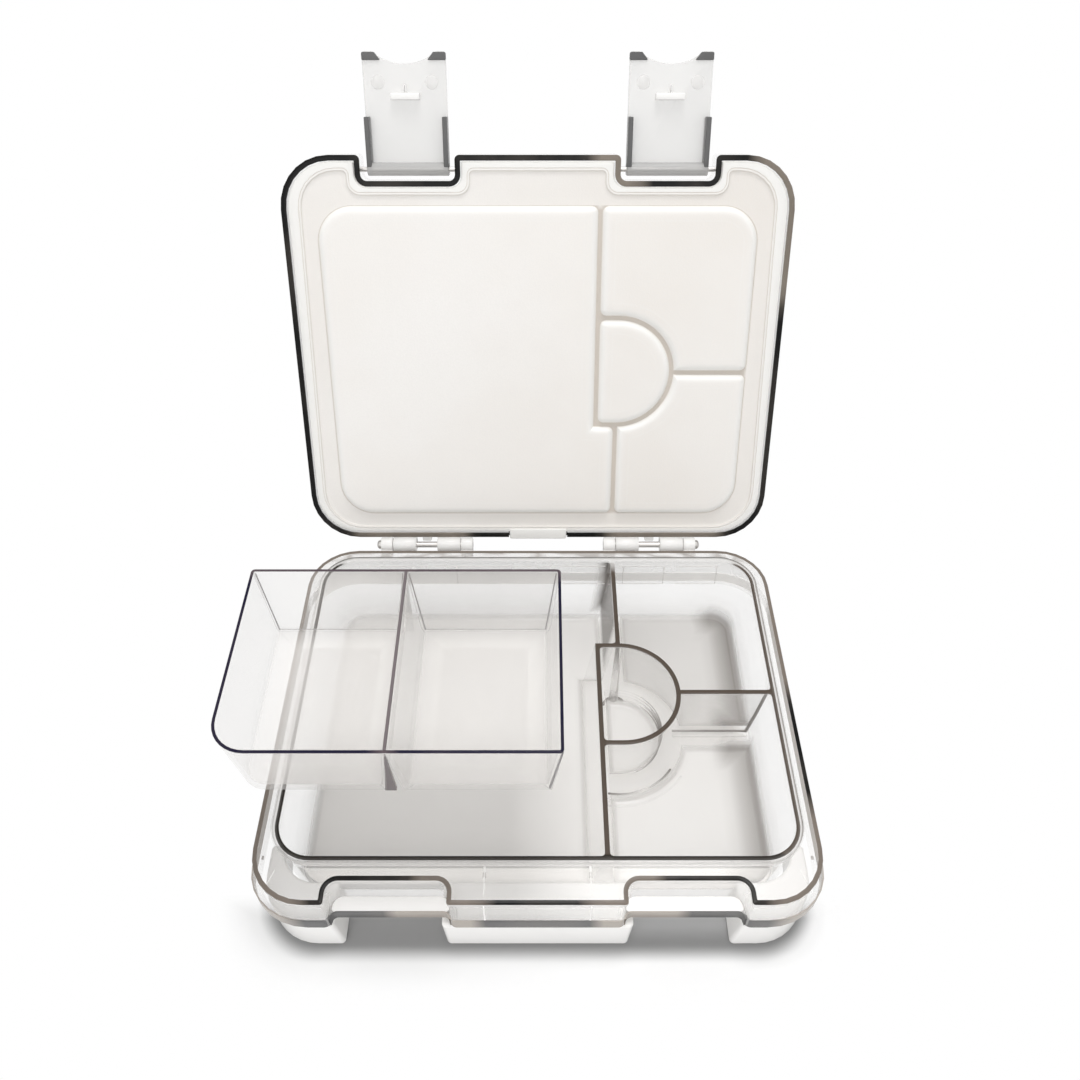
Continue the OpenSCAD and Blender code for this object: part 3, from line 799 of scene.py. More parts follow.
@dataclass(frozen=True)
class Plan:
    """Sizes that several pieces share: the box's outline, the tray's layout, hinge line, latch stations."""

    half_w: float = 110.0
    half_d: float = 88.0
    corner_r: float = 22.0
    flare: float = 4.0
    rim_z: float = 42.0
    station_x: float = 55.0
    in_x: float = 101.7
    in_front: float = -69.3
    in_back: float = 80.6
    in_r: float = 14.2
    tray_top: float = 42.6
    tray_floor: float = 4.0
    draft: float = 4.4
    divider_t: float = 2.0
    divider_r: float = 1.5
    front_divider_x: float = 26.95
    rear_divider_x: float = 36.25
    cross_y: float = 5.2
    cup_r: float = 24.0
    hinge_y: float = 92.0
    lid_open: float = 112.8
    knuckle_r: float = 3.6

    def notched(
        self, near: float, far: float, depth: float, cut_r: float, edge_r: float, slot: float = 0.0
    ) -> Outline:
        """The box's outline with two mirrored notches in its front edge.

        Args:
            near: inner edge of a notch, from the station.
            far: outer edge of a notch, from the station.
            depth: depth of a notch.
            cut_r: radius of the notch's inner corners.
            edge_r: radius where a notch meets the front edge.
            slot: half width of a slot in the back edge, which only gets its own points.

        Returns:
            The outline.
        """
        front, back = -self.half_d, self.half_d - depth
        inner, outer = self.station_x - near, self.station_x + far
        corners = [
            (-self.half_w, front, self.corner_r),
            (-outer, front, edge_r),
            (-outer, -back, cut_r),
            (-inner, -back, cut_r),
            (-inner, front, edge_r),
            (inner, front, edge_r),
            (inner, -back, cut_r),
            (outer, -back, cut_r),
            (outer, front, edge_r),
            (self.half_w, front, self.corner_r),
            (self.half_w, self.half_d, self.corner_r),
            (-self.half_w, self.half_d, self.corner_r),
        ]
        if slot:
            edges = [(x, self.half_d, 0.0) for x in (slot, slot - 0.05, 0.05 - slot, -slot)]
            corners[11:11] = edges
        return outline(corners)

    def spread(self, points: np.ndarray, share: np.ndarray | float) -> np.ndarray:
        """Points moved to the sides by a share of the belt's flare, growing from the recesses to the sides.

        Args:
            points: points to move.
            share: share of the flare, one for all or one for each.

        Returns:
            The moved points.
        """
        start = self.station_x + 25.0
        x = points[..., 0]
        reach = np.sign(x) * self.flare * np.maximum(0, np.abs(x) - start) / (self.half_w - start)
        return np.concatenate([(x + share * reach)[..., None], points[..., 1:]], -1)

    def tray_ring(self, inset: float) -> np.ndarray:
        """The tray's inner edge as one rounded rectangle."""
        x, r = self.in_x, self.in_r
        return outline(rectangle(-x, x, self.in_front, self.in_back, r), 14).ring(inset)

    def _corner(self, x: float, y: float, radius: float, inset: float, quarter: int) -> np.ndarray:
        """A rounded corner drawn in: quarter 0 is front left, then counter-clockwise.

        Args:
            x: X of the sharp corner.
            y: Y of the sharp corner.
            radius: its radius.
            inset: distance to draw in.
            quarter: which corner it is.

        Returns:
            Points of the arc.
        """
        sx = 1 if quarter in (0, 3) else -1
        sy = 1 if quarter < 2 else -1
        r = max(radius - inset, 0.0)
        centre = (x + sx * (inset + r), y + sy * (inset + r))
        return arc(centre, r, 180 + 90 * quarter, 270 + 90 * quarter, 14 if radius > 4 else 5)

    def _left(self, inset: float, margin: Sequence[float]) -> np.ndarray:
        """The large left compartment: a rectangle with a wider part behind the round cup.

        Args:
            inset: distance to draw in.
            margin: further distance at the side, the back, the front and the dividers.

        Returns:
            The ring's points, counter-clockwise.
        """
        side, back, front, gap = margin
        step_y = self.cross_y + self.cup_r + self.divider_t + gap
        near_x = self.front_divider_x - self.divider_t / 2 - gap
        wide_x = self.rear_divider_x - self.divider_t / 2 - gap
        return np.concatenate(
            [
                self._corner(-self.in_x + side, self.in_front + front, self.in_r, inset, 0),
                self._corner(near_x, self.in_front + front, self.divider_r, inset, 1),
                [[near_x - inset, step_y + inset]],
                self._corner(wide_x, step_y, self.divider_r, inset, 1),
                self._corner(wide_x, self.in_back - back, self.divider_r, inset, 2),
                self._corner(-self.in_x + side, self.in_back - back, self.in_r, inset, 3),
            ]
        )

    def _rear(self, inset: float, margin: Sequence[float]) -> np.ndarray:
        """The rear right compartment: a rectangle with a round bite for the cup.

        Args:
            inset: distance to draw in.
            margin: further distance at the side, the back, the front and the dividers.

        Returns:
            The ring's points, counter-clockwise.
        """
        side, back, _, gap = margin
        x = self.rear_divider_x + self.divider_t / 2 + gap
        y = self.cross_y + self.divider_t / 2 + gap
        r = self.cup_r + self.divider_t + gap + inset
        top = np.degrees(np.arccos((x + inset - self.rear_divider_x) / r))
        low = np.degrees(np.arcsin((y + inset - self.cross_y) / r))
        return np.concatenate(
            [
                self._corner(self.in_x - side, y, self.divider_r, inset, 1),
                self._corner(self.in_x - side, self.in_back - back, self.in_r, inset, 2),
                self._corner(x, self.in_back - back, self.divider_r, inset, 3),
                arc((self.rear_divider_x, self.cross_y), r, top, low, 40),
            ]
        )

    def _front(self, inset: float, margin: Sequence[float]) -> np.ndarray:
        """The front right compartment: a rectangle with a round bite for the cup.

        Args:
            inset: distance to draw in.
            margin: further distance at the side, the back, the front and the dividers.

        Returns:
            The ring's points, counter-clockwise.
        """
        side, _, front, gap = margin
        x = self.front_divider_x + self.divider_t / 2 + gap
        y = self.cross_y - self.divider_t / 2 - gap
        bite = self.cup_r + self.divider_t + gap
        r = bite + inset
        top = np.degrees(np.arcsin((y - inset - self.cross_y) / r))
        lean = np.arccos(np.clip((x + inset - self.rear_divider_x) / r, 0, 1))
        foot = self.cross_y - r * np.sin(lean) + inset
        return np.concatenate(
            [
                self._corner(x, self.in_front + front, self.divider_r, inset, 0),
                self._corner(self.in_x - side, self.in_front + front, self.in_r, inset, 1),
                self._corner(self.in_x - side, y, self.divider_r, inset, 2),
                arc((self.rear_divider_x, self.cross_y), r, top, -np.degrees(lean), 40),
                self._corner(x, foot, self.divider_r, inset, 3),
            ]
        )

    def _cup(self, inset: float, margin: Sequence[float]) -> np.ndarray:
        """The round cup: a half circle with a flat side.

        Args:
            inset: distance to draw in.
            margin: further distance at the side, the back, the front and the dividers.

        Returns:
            The ring's points, counter-clockwise.
        """
        x = self.front_divider_x + self.divider_t / 2 + margin[3]
        r = self.cup_r - margin[3] - inset
        lean = np.arccos(np.clip((x + inset - self.rear_divider_x) / r, 0, 1))
        reach = r * np.sin(lean) + inset
        return np.concatenate(
            [
                self._corner(x, self.cross_y - reach, self.divider_r, inset, 0),
                arc((self.rear_divider_x, self.cross_y), r, -np.degrees(lean), np.degrees(lean), 60),
                self._corner(x, self.cross_y + reach, self.divider_r, inset, 3),
            ]
        )

    def compartments(self, margin: Sequence[float] = (0, 0, 0, 0)) -> list[Ring]:
        """The rings of the left, the rear right, the front right compartment and the round cup.

        Args:
            margin: distance to draw them in at the side, the back, the front and the dividers.

        Returns:
            Functions that give a ring drawn in by a further distance.
        """

        def ring(shape: Callable[[float, Sequence[float]], np.ndarray]) -> Ring:
            """A compartment's ring as a function of the inset."""
            return lambda inset: filled(shape(inset, margin), shape(0.0, margin))

        return [ring(shape) for shape in (self._left, self._rear, self._front, self._cup)]

    def on_lid(self, points: np.ndarray) -> np.ndarray:
        """Points drawn on the shut lid, swung to where the lid stands."""
        return swing(points, self.hinge_y, self.rim_z, -self.lid_open)

    def knuckle(self, shell: Shell, start: float, length: float, up: bool) -> None:
        """Add a hinge knuckle with the web that carries it, on the lid (up) or on the case.

        Args:
            shell: shell that gets it.
            start: X of its left end.
            length: its length.
            up: whether it belongs to the lid.
        """
        r, end, soft = self.knuckle_r, start + length, 0.35
        profile = [(start, r - 0.5), (start + 0.12, r - soft / 2), (start + soft, r)]
        profile += [(end - soft, r), (end - 0.12, r - soft / 2), (end, r - 0.5)]
        shell.turned(profile, self.hinge_y, self.rim_z, 0.0, 0.9)
        low = self.rim_z + (0.3 if up else -r)
        reach = self.hinge_y - self.half_d + 1.15
        web = rectangle(start, end, self.hinge_y - reach, self.hinge_y, 0.3)
        shell.solid(outline(web, 3).ring, low, low + r - 0.3, 0.25, (0.05, 0.0, 0.05), 0.9)


@dataclass
class Case:
    """The outer case: rim, skirt, tub, lobes, catch shelves, ribs and outer knuckles, and the belt."""

    plan: Plan
    finishes: Finishes
    belt_top: float = 25.7
    skirt_foot: float = 19.2
    ledge_low: float = 39.0
    pocket_z: float = 40.5
    tub_floor: float = 2.3
    recess: tuple[float, float, float] = (21.0, 25.0, 9.3)
    shelf: tuple[float, float] = (20.4, 25.4)
    shelf_front: float = -84.4
    shelf_x: tuple[float, float] = (34.2, 79.8)
    lobe_room: tuple[float, float] = (17.4, 22.0)
    lobe_back: float = -54.0
    line_w: float = 1.75
    rib_x: float = 20.2
    knuckle_l: float = 5.8
    knuckle_at: tuple[float, float] = (-22.7, 16.9)
    shell: Shell = field(default_factory=Shell)
    frosted: Shell = field(default_factory=Shell)

    def rim_tone(self, points: np.ndarray) -> np.ndarray:
        """Pale stretches of the rim line: beside and inside the recesses, and on most of the sides.

        Args:
            points: points of the mesh.

        Returns:
            1 where the edge is pale, 0 where it is dark.
        """
        x, y = np.abs(points[:, 0]), points[:, 1]
        front = step(x, 18, 22) * step(x, 50, 46) + step(x, 84, 91)
        right = 1 - step(y, -52, -44) * step(y, 10, 2) * (points[:, 0] > 0)
        return np.where((y < -60) & (x < 100), front, right)

    def rim_and_skirt(self) -> None:
        """Rim line, ledge and skirt: one profile round the recessed outline, closed by two pierced plates.

        The wall at the back of each recess gets darker towards its foot, a painted shade.
        """
        ring = self.plan.notched(*self.recess, 4.5, 1.2).ring
        top, foot = self.plan.rim_z, self.skirt_foot
        table = [
            (self.line_w + 0.12, top, 0.0, 0.1),
            (self.line_w, top, 1.0, 0.0),
            (0.35, top, 1.0, 0.0),
            (0.12, top - 0.1, 1.0, 0.0),
            (0.02, top - 0.3, 0.9, 0.0),
            (0.0, top - 0.5, 0.2, 0.35),
            (0.0, top - 0.8, 0.0, 0.5),
            (0.0, top - 1.8, 0.0, 0.4),
            (0.12, top - 2.0, 0.03, 0.35),
            (0.45, top - 2.2, 0.03, 0.3),
            (0.5, top - 2.6, 0.0, 0.3),
            (0.5, 33.0, 0.0, 0.25),
            (0.5, self.belt_top + 1.2, 0.0, 0.25),
            (0.5, self.belt_top + 0.2, 0.04, 0.3),
            (0.5, foot + 0.4, 0.0, 0.2),
            (0.9, foot, 0.0, 0.2),
            (2.3, foot, 0.0, 0.2),
            (2.7, foot + 0.4, 0.0, 0.0),
            (2.7, self.ledge_low - 1.0, 0.0, 0.0),
            (3.0, self.ledge_low - 0.25, 0.02, 0.0),
            (3.6, self.ledge_low, 0.02, 0.0),
        ]
        profile = np.array(table)
        lean = np.clip((top - 2.0 - profile[:, 1:2]) / (top - 2.0 - self.belt_top), 0, 1)
        lean[-4:] = np.clip((self.ledge_low - profile[-4:, 1:2]) / (self.ledge_low - foot), 0, 1)
        flat = self.plan.spread(drawn_in(ring, profile[:, 0]), lean)
        height = np.repeat(profile[:, 1, None], flat.shape[1], 1)
        x, y = np.abs(flat[..., 0]), flat[..., 1]
        # painted shade: the recess walls darken towards their foot
        recess = (y > -84.0) & (y < -74.0) & (x > 32) & (x < 82) & (height < top - 1) & (profile[:, :1] < 1)
        thick = profile[:, 2, None] + recess * (0.04 + 0.1 * step(height, 33, 26))
        self.shell.grid(raised(flat, height), thick, profile[:, 3, None])
        edges = [ring(self.line_w + 0.12), self.plan.tray_ring(-3.3)]
        behind = [0.7 * step(edge[:, 1], 74, 84) for edge in edges]
        self.shell.plate(edges, top, (behind[0], 0.06 + behind[1]), 0.1)
        self.shell.plate([ring(3.6), self.plan.tray_ring(-3.42)], self.ledge_low, (0.02, 0.02))

    def tub(self) -> None:
        """Tub: pocket for the tray's rim, leaning walls, rounded feet and flat floors, inside and out."""
        lean = self.plan.draft / (self.plan.tray_top - self.plan.tray_floor)
        top, pocket = self.plan.rim_z, self.pocket_z

        def inner(z: float) -> float:
            """Inset of the inner wall at a height."""
            return -1.9 + lean * (top + 1 - z)

        angle = np.linspace(0.0, np.pi / 2, 6)
        curve_in = rounded_foot(inner(self.tub_floor + 3), self.tub_floor, 3, angle)
        curve_out = rounded_foot(inner(2.0) - 1.8, 0.0, 2, angle)
        foot_in = [(inset, z, 0.03, 0.1) for inset, z in curve_in]
        foot_out = [(inset, z, 0.03, 0.2) for inset, z in curve_out]
        inside_wall = [
            (-3.3, top, 0.08, 0.1),
            (-3.2, top - 0.1, 0.1, 0.3),
            (-3.2, pocket + 0.2, 0.03, 0.2),
            (-3.0, pocket, 0.03, 0.2),
            (inner(pocket) - 0.3, pocket, 0.02, 0.1),
            (inner(pocket), pocket - 0.3, 0.04, 0.1),
            (inner(20.0), 20.0, 0.0, 0.0),
            *foot_in,
            (inner(self.tub_floor) + 9, self.tub_floor, 0.0, 1.0),
        ]
        outside_wall = [
            (-3.42, self.ledge_low, 0.02, 0.0),
            (inner(30.0) - 1.8, 30.0, 0.0, 0.0),
            *foot_out,
            (inner(2.0) + 8, 0.0, 0.0, 1.0),
        ]
        self.shell.rows(self.plan.tray_ring, inside_wall, (False, True))
        self.shell.rows(self.plan.tray_ring, outside_wall, (False, True))

    def lobes(self) -> None:
        """Three frosted lobes below the belt, one in the middle and one round each front corner.

        Their sides lean: the middle one gets narrower towards its foot, the corner ones wider.
        """
        front, wall = -self.plan.half_d + 0.5, self.plan.in_front - 0.3
        side, high = self.plan.half_w - 0.5, self.skirt_foot - 0.05
        half, near = self.plan.station_x - self.lobe_room[0], self.plan.station_x + self.lobe_room[1]
        inner = self.plan.in_x + 2.4
        middle = rectangle(-half, half, front, wall, 2.0, 1.0)
        corner = [
            (near, front, 2.0),
            (side, front, self.plan.corner_r - 0.5),
            (side, self.lobe_back, 2.0),
            (inner, self.lobe_back, 0.5),
            (inner, wall, 15.0),
            (near, wall, 1.0),
        ]

        def lean(points: np.ndarray) -> np.ndarray:
            """Points near the lobes' inner sides moved away from the recess with the height.

            Args:
                points: points of a lobe.

            Returns:
                The moved points.
            """
            x, rise = points[..., 0], points[..., 2] / high
            shift = np.where(
                np.abs(x) < 60, -1.2 * (1 - rise) * (np.abs(x) > 30), 2.6 * rise * step(np.abs(x), 88, 80)
            )
            return np.concatenate([(x + np.sign(x) * shift)[..., None], points[..., 1:]], -1)

        for shape in (middle, corner, mirrored(corner)):
            self.frosted.solid(outline(shape, 10).ring, 0.0, high, 1.4, (0.0, 0.0, 0.0), 1.0, lean)

    def fittings(self) -> None:
        """Catch shelves, ribs and nubs on the front wall, corner creases and the outer knuckles."""
        plan, rim = self.plan, self.plan.rim_z
        for side in Side:
            sign = side.value
            inner, outer = sorted(sign * x for x in self.shelf_x)
            back = -plan.half_d + self.recess[2] + 0.8
            front = self.shelf_front + 0.3
            ends = rectangle(inner, outer, front, back, 1.4, 4.4)
            self.frosted.solid(outline(ends).ring, self.shelf[0], self.shelf[1], 0.4, (0, 0, 0), 1.0)
            x, near = sign * self.rib_x, plan.in_front - 5.0
            face = -plan.half_d
            rib = np.linspace((x, face + 0.65, rim - 3.0), (x, face + 0.7, self.belt_top + 0.6), 3)
            self.shell.rod(rib, np.array([0.35, 0.45, 0.55]), 0.0, 1.0)
            self.shell.rod(np.linspace((x, near, rim - 0.3), (x, face + 3.6, rim - 0.3), 3), 0.25, 0.0, 0.9)
            self.shell.rod(
                np.linspace((x, near + 1.2, rim - 0.6), (x, near - 0.6, rim - 0.6), 3), 0.5, 0.0, 1.0
            )
            self.shell.rod(
                np.linspace((x, near - 1.2, rim - 0.7), (x, near - 3.2, rim - 0.7), 3), 0.65, 0.35, 0.0
            )
            start = (sign * (plan.half_w - 10.0), face + 13.5, rim - 0.3)
            end = (sign * (plan.half_w - 6.0), face + 5.0, rim - 2.6)
            self.shell.rod(np.linspace(start, end, 4), 0.22, 0.0, 1.0)
            dot_x = sign * (plan.half_w - 4.4)
            dot = np.linspace((dot_x, face + 19.0, rim - 0.6), (dot_x, face + 17.8, rim - 0.6), 3)
            self.shell.rod(dot, 0.5, 0.7, 0.0)
            for offset in self.knuckle_at:
                plan.knuckle(self.shell, sign * plan.station_x + offset, self.knuckle_l, False)

    def belt(self) -> bpy.types.Object:
        """The belt: a broad band round the skirt that runs along the fronts of the catch shelves.

        It is grey at the front corners, on the outer half of each shelf and in the middle, pale elsewhere,
        and clear at the back. Along a shelf its lower edge rises to the shelf's foot, so that the latch's
        hook passes below it.

        Returns:
            The belt.
        """
        near, far, _ = self.recess
        edge = self.plan.notched(near, far, self.plan.half_d + self.shelf_front, 2.6, 2.6)
        low, high = self.skirt_foot + 0.1, self.belt_top - 0.2
        band = Shell()

        def tone(points: np.ndarray) -> np.ndarray:
            """Pale between the middle and the middle of each shelf, and from the corners on.

            Args:
                points: points of the belt.

            Returns:
                1 where the edge is pale, 0 where it is dark.
            """
            x = np.abs(points[:, 0])
            front = step(x, 20, 25) * step(x, 58, 54) + step(x, 90, 98)
            return np.where((points[:, 1] < -60) & (x < 105), front, 1.0)

        band.tone = tone
        side = [(0.55, low + 0.1), (0.2, low), (0.04, low + 0.12), (0.0, low + 0.4)]
        side += [(0.0, high - 0.4), (0.04, high - 0.12), (0.2, high), (0.55, high - 0.1), (0.55, low + 0.1)]
        profile = np.array(side)
        flat = self.plan.spread(drawn_in(edge.ring, profile[:, 0]), 1.0)
        height = np.repeat(profile[:, 1, None], flat.shape[1], 1)
        at_shelf = np.abs(flat[..., 1] - self.shelf_front) < 1.2
        height = np.where(at_shelf, np.maximum(height, self.shelf[0] - 0.1 + 0.2 * (height - low)), height)
        band.grid(raised(flat, height), step(flat[..., 1], 74, 60))
        piece = band.make("case_belt", self.finishes.belt)
        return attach(piece, "base")

    def build(self) -> bpy.types.Object:
        """Build the case and its belt and let them ride on the base.

        Returns:
            The case without its belt and lobes.
        """
        self.shell.tone = self.rim_tone
        self.rim_and_skirt()
        self.tub()
        self.lobes()
        self.fittings()
        self.belt()
        lobes = self.frosted.make("case_lobes", self.finishes.case, 14.0)
        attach(lobes, "base")
        piece = self.shell.make("case_moulding", self.finishes.case, casts=False)
        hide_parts("case")
        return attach(piece, "base")


@dataclass
class CompartmentTray:
    """The lift-out tray: a rim, four leaning compartments with rounded feet, and a thin outer wall."""

    plan: Plan
    finishes: Finishes
    rim_w: float = 2.8
    rim_t: float = 2.0
    low: float = 2.4
    foot_r: float = 3.0
    wave_h: float = 0.24
    wave_l: float = 1.8
    shell: Shell = field(default_factory=Shell)

    @property
    def lean(self) -> float:
        """Inset that a wall gains for each millimetre down."""
        return self.plan.draft / (self.plan.tray_top - self.plan.tray_floor)

    @property
    def foot_at(self) -> float:
        """Inset where a compartment's rounded foot starts."""
        return self.lean * (self.plan.tray_top - self.plan.tray_floor - self.foot_r)

    def rim_tone(self, points: np.ndarray) -> np.ndarray:
        """Pale on the dividers and along the right side, dark on the rest of the rim.

        Args:
            points: points of the mesh.

        Returns:
            1 where the edge is pale, 0 where it is dark.
        """
        x, y = points[:, 0], points[:, 1]
        within = (y > self.plan.in_front + 0.8) & (y < self.plan.in_back - 0.5)
        return np.where(within & (x > 20), 1.0, 0.0)

    def inner_edge(self, points: np.ndarray) -> np.ndarray:
        """Dark value along the rim's inner edge: none at the back, but all of it on the dividers."""
        return np.maximum(0.08, step(points[..., 1], self.plan.in_back - 0.3, self.plan.in_back - 2.5))

    def outer_edge(self, points: np.ndarray) -> np.ndarray:
        """Dark value along the rim's outer edge: dark at the back, weaker on the right, faint elsewhere."""
        x, y = points[..., 0], points[..., 1]
        return 0.25 + 0.7 * np.maximum(step(y, 66, 80), 0.8 * step(x, 96, 101) * step(y, -72, -60))

    def profile(self, cup: bool) -> np.ndarray:
        """A compartment's section: the rim's edge rolls in, the wall leans, the foot is a quarter circle.

        The round cup's wall has fine waves above its foot, dark on their crests.

        Args:
            cup: whether it is the round cup's.

        Returns:
            Rows of inset, height, dark and white value, from the rim to the middle of the floor.
        """
        top, floor, foot = self.plan.tray_top, self.plan.tray_floor, self.foot_r
        edge = [(-0.3, top, 1.0, 0.0), (-0.08, top - 0.1, 1.0, 0.0), (0.0, top - 0.35, 0.8, 0.0)]
        edge += [(0.04, top - 0.7, 0.1, 0.35), (0.1, top - 1.2, 0.0, 0.15)]
        wall = [(self.lean * (top - z), z, 0.02, 0.0) for z in (36.0, 28.0, 20.0, 14.0)]
        if cup:
            steps = np.linspace(13.0, 7.6, 28)
            wave = self.wave_h * np.sin((13.0 - steps) * 2 * np.pi / self.wave_l)
            tint = 0.04 + 0.75 * np.clip(wave / self.wave_h, 0, 1)
            wall += [(self.lean * (top - z) + w, z, t, 0.0) for z, w, t in zip(steps, wave, tint)]
        angle = np.linspace(0.1, np.pi / 2, 7)
        curve = rounded_foot(self.foot_at, floor, foot, angle)
        # painted shade: the rounded foot darkens in its middle
        feet = [*np.column_stack([curve, 0.04 + 0.2 * np.sin(2 * angle), np.sin(angle) ** 2])]
        flat = [(self.foot_at + foot + far, floor, 0.0, 1.0) for far in ((2, 4) if cup else (2, 5, 9, 14))]
        return np.array(edge + wall + feet + flat)

    def tint(self, room: Room, profile: np.ndarray, plane: np.ndarray) -> np.ndarray:
        """Dark values of a compartment: its section's, more where dividers' faces are seen slanting, painted
        shade on the floors along the right wall, and more over the rear compartment's floor.

        Args:
            room: which compartment it is.
            profile: its section.
            plane: X and Y of its points, one row for each row of the section.

        Returns:
            One value for each point.
        """
        plan, floor, foot = self.plan, self.plan.tray_floor, self.foot_r
        x, y = plane[..., 0], plane[..., 1]
        height = np.repeat(profile[:, 1, None], plane.shape[1], 1)
        thick = np.repeat(profile[:, 2, None], plane.shape[1], 1)
        thick[:3] *= self.inner_edge(plane[:3])
        on_wall = (height < plan.tray_top - 1) & (height > floor + foot)
        if room is Room.CUP:
            thick *= np.where(on_wall, 0.1 + 0.9 * step(x, 44, 54), 1.0)
            return thick + 0.12 * on_wall * step(x, 40, 56)
        if room is Room.LEFT:
            return thick + 0.88 * on_wall * step(x, 28, 30) * step(y, 37, 42)
        # painted shade: feet and floors darken along the right wall
        fade = step(profile[:, :1], self.foot_at + foot + 13, self.foot_at + foot)
        thick += 0.45 * (height < floor + foot) * fade * step(x, 78, 88)
        from_cup = np.hypot(x - plan.rear_divider_x, y - plan.cross_y)
        if room is Room.REAR:
            thick += 0.14 * (height < floor + 0.1)
            thick += 0.14 * on_wall * step(y, 14, 9) * step(x, 60, 66)
        return thick + 0.14 * on_wall * step(from_cup, 36, 30)

    def compartment(self, ring: Ring, room: Room) -> None:
        """One compartment: its section carried round its outline, and a flat floor.

        Args:
            ring: gives the compartment's outline drawn in by a distance.
            room: which compartment it is.
        """
        profile = self.profile(room is Room.CUP)
        plane = drawn_in(ring, profile[:, 0])
        thick = self.tint(room, profile, plane)
        self.shell.grid(raised(plane, profile[:, 1, None]), thick, profile[:, 3, None])
        self.shell.plate([plane[-1]], self.plan.tray_floor, [thick[-1]], 1.0)

    def lines(self) -> None:
        """Edges that stand out, as dark and white rods: ends and feet of the dividers, the cup's foot and the
        two steps in the back wall; the white rods are painted highlights.
        """
        plan, top, floor = self.plan, self.plan.tray_top, self.plan.tray_floor
        wall_x, face_y = plan.in_x, plan.cross_y + plan.divider_t / 2
        end = [(wall_x - 1.1, face_y + 0.1, top - 1.2), (wall_x - 2.9, face_y + 1.0, 22.0)]
        end += [(wall_x - 4.7, face_y + 2.2, floor + 0.6), (wall_x - 5.7, face_y + 2.3, floor + 0.5)]
        self.shell.rod(end, np.array([0.7, 0.75, 0.75, 0.6]), 0.8)
        cup_side = plan.rear_divider_x + plan.cup_r + 2.25
        across = np.linspace(
            (wall_x - 5.1, face_y + 2.3, floor + 0.5), (cup_side, face_y + 2.3, floor + 0.5), 5
        )
        self.shell.rod(across, 0.55, np.array([0.8, 0.75, 0.75, 0.7, 0.6]))
        # painted highlight: a white line on the floor in front of the divider's foot
        self.shell.rod(across + np.array([0.0, -2.6, 0.0]), 0.6, 0.0, 1.0)
        x, y = plan.rear_divider_x, plan.cross_y + plan.cup_r
        stem = np.linspace((x, y + 1.0, top - 0.6), (x - 0.4, y - 4.0, floor + 2.0), 7)
        self.shell.rod(stem, np.linspace(0.9, 2.2, 7), np.array([0.8, 0.6, 0.4, 0.25, 0.16, 0.2, 0.5]))
        # painted highlight: a white line beside the stem
        self.shell.rod(
            stem + np.array([1.6, -0.4, 0.0]), np.linspace(0.15, 0.5, 7), 0.05, np.linspace(0.2, 1.0, 7)
        )
        blob = arc((x, y - 8.0), 5.4, 40, 165, 12)
        self.shell.rod(raised(blob, floor + 0.9), 0.7, 0.75)
        for level in range(4):
            foot = arc((x, plan.cross_y), plan.cup_r - 4.0 + 0.2 * level, -70 + 8 * level, 55 - 9 * level, 24)
            fade = 0.85 * np.sin(np.linspace(0, np.pi, 24)) ** 0.5
            self.shell.rod(raised(foot, floor + 1.6 + 2.0 * level), 0.36, fade)
        for grow, drop, dark in ((-1.2, 0.6, 0.85), (1.6, 0.2, 0.25), (4.4, 0.1, 0.12)):
            trail = arc((x, plan.cross_y), plan.cup_r + 6.2 + grow, -100, -35, 24)
            strength = dark * (0.25 + 0.75 * np.abs(np.linspace(-1, 1, 24)))
            self.shell.rod(raised(trail, floor + drop), 0.5, strength)
        # painted highlights: white lines along and across the two steps of the back wall
        back = plan.in_back
        for z, reach in ((39.2, 0.5), (27.6, 1.9)):
            for x0, x1 in ((-84.0, 33.0), (40.0, 62.0), (68.0, 88.0)):
                line = np.linspace((x0, back - reach, z), (x1, back - reach, z), 3)
                self.shell.rod(line, 0.22, 0.0, 1.0)
        for x in (-40.0, 42.0, 62.0, 88.0):
            self.shell.rod(np.linspace((x, back - 0.5, 39.2), (x, back - 1.9, 27.6), 3), 0.2, 0.0, 0.8)

    def build(self) -> bpy.types.Object:
        """Build the tray and let it ride on its own body.

        Returns:
            The tray.
        """
        plan, top = self.plan, self.plan.tray_top
        self.shell.tone = self.rim_tone
        for room, ring in zip(Room, plan.compartments()):
            self.compartment(ring, room)
        holes = [ring(-0.3) for ring in plan.compartments()]
        bands = [plan.tray_ring(-inset) for inset in (1.35, 1.5, 2.0, self.rim_w - 0.4)]
        bands[:2] = [band - np.array([0.0, 0.45]) for band in bands[:2]]
        dark = [self.outer_edge(bands[3]), *[self.inner_edge(hole) for hole in holes]]
        dark += [self.inner_edge(bands[0]) * 0.95, 0.03, np.maximum(0.03, self.outer_edge(bands[2]) - 0.3)]
        white = (0.0, 0.0, 0.0, 0.0, 0.0, 0.0, 0.5, 0.5)
        self.shell.plate([bands[3], *holes, *bands[:3]], top, dark, white, holes=4)
        lean, under = self.lean, top - self.rim_t
        wall = [(-1.5 + lean * (top - z), z, 0.0, 0.0) for z in (under - 0.3, 30.0, 15.0, self.low + 2)]
        angle = np.linspace(0.3, np.pi / 2, 5)
        start = -1.5 + lean * (top - self.low - 2)
        feet = [(inset, z, 0.02, 0.3) for inset, z in rounded_foot(start, self.low, 2, angle)]
        outer = [
            (0.4 - self.rim_w, top, 0.3, 0.0),
            (0.1 - self.rim_w, top - 0.12, 0.3, 0.2),
            (-self.rim_w, top - 0.4, 0.15, 0.4),
            (-self.rim_w, under + 0.3, 0.1, 0.5),
            (0.3 - self.rim_w, under, 0.1, 0.4),
            (-1.7, under, 0.04, 0.1),
        ]
        profile = np.array(outer + wall + feet + [(start + 9, self.low, 0.0, 1.0)])
        flat = drawn_in(plan.tray_ring, profile[:, 0])
        dark = np.repeat(profile[:, 2, None], flat.shape[1], 1)
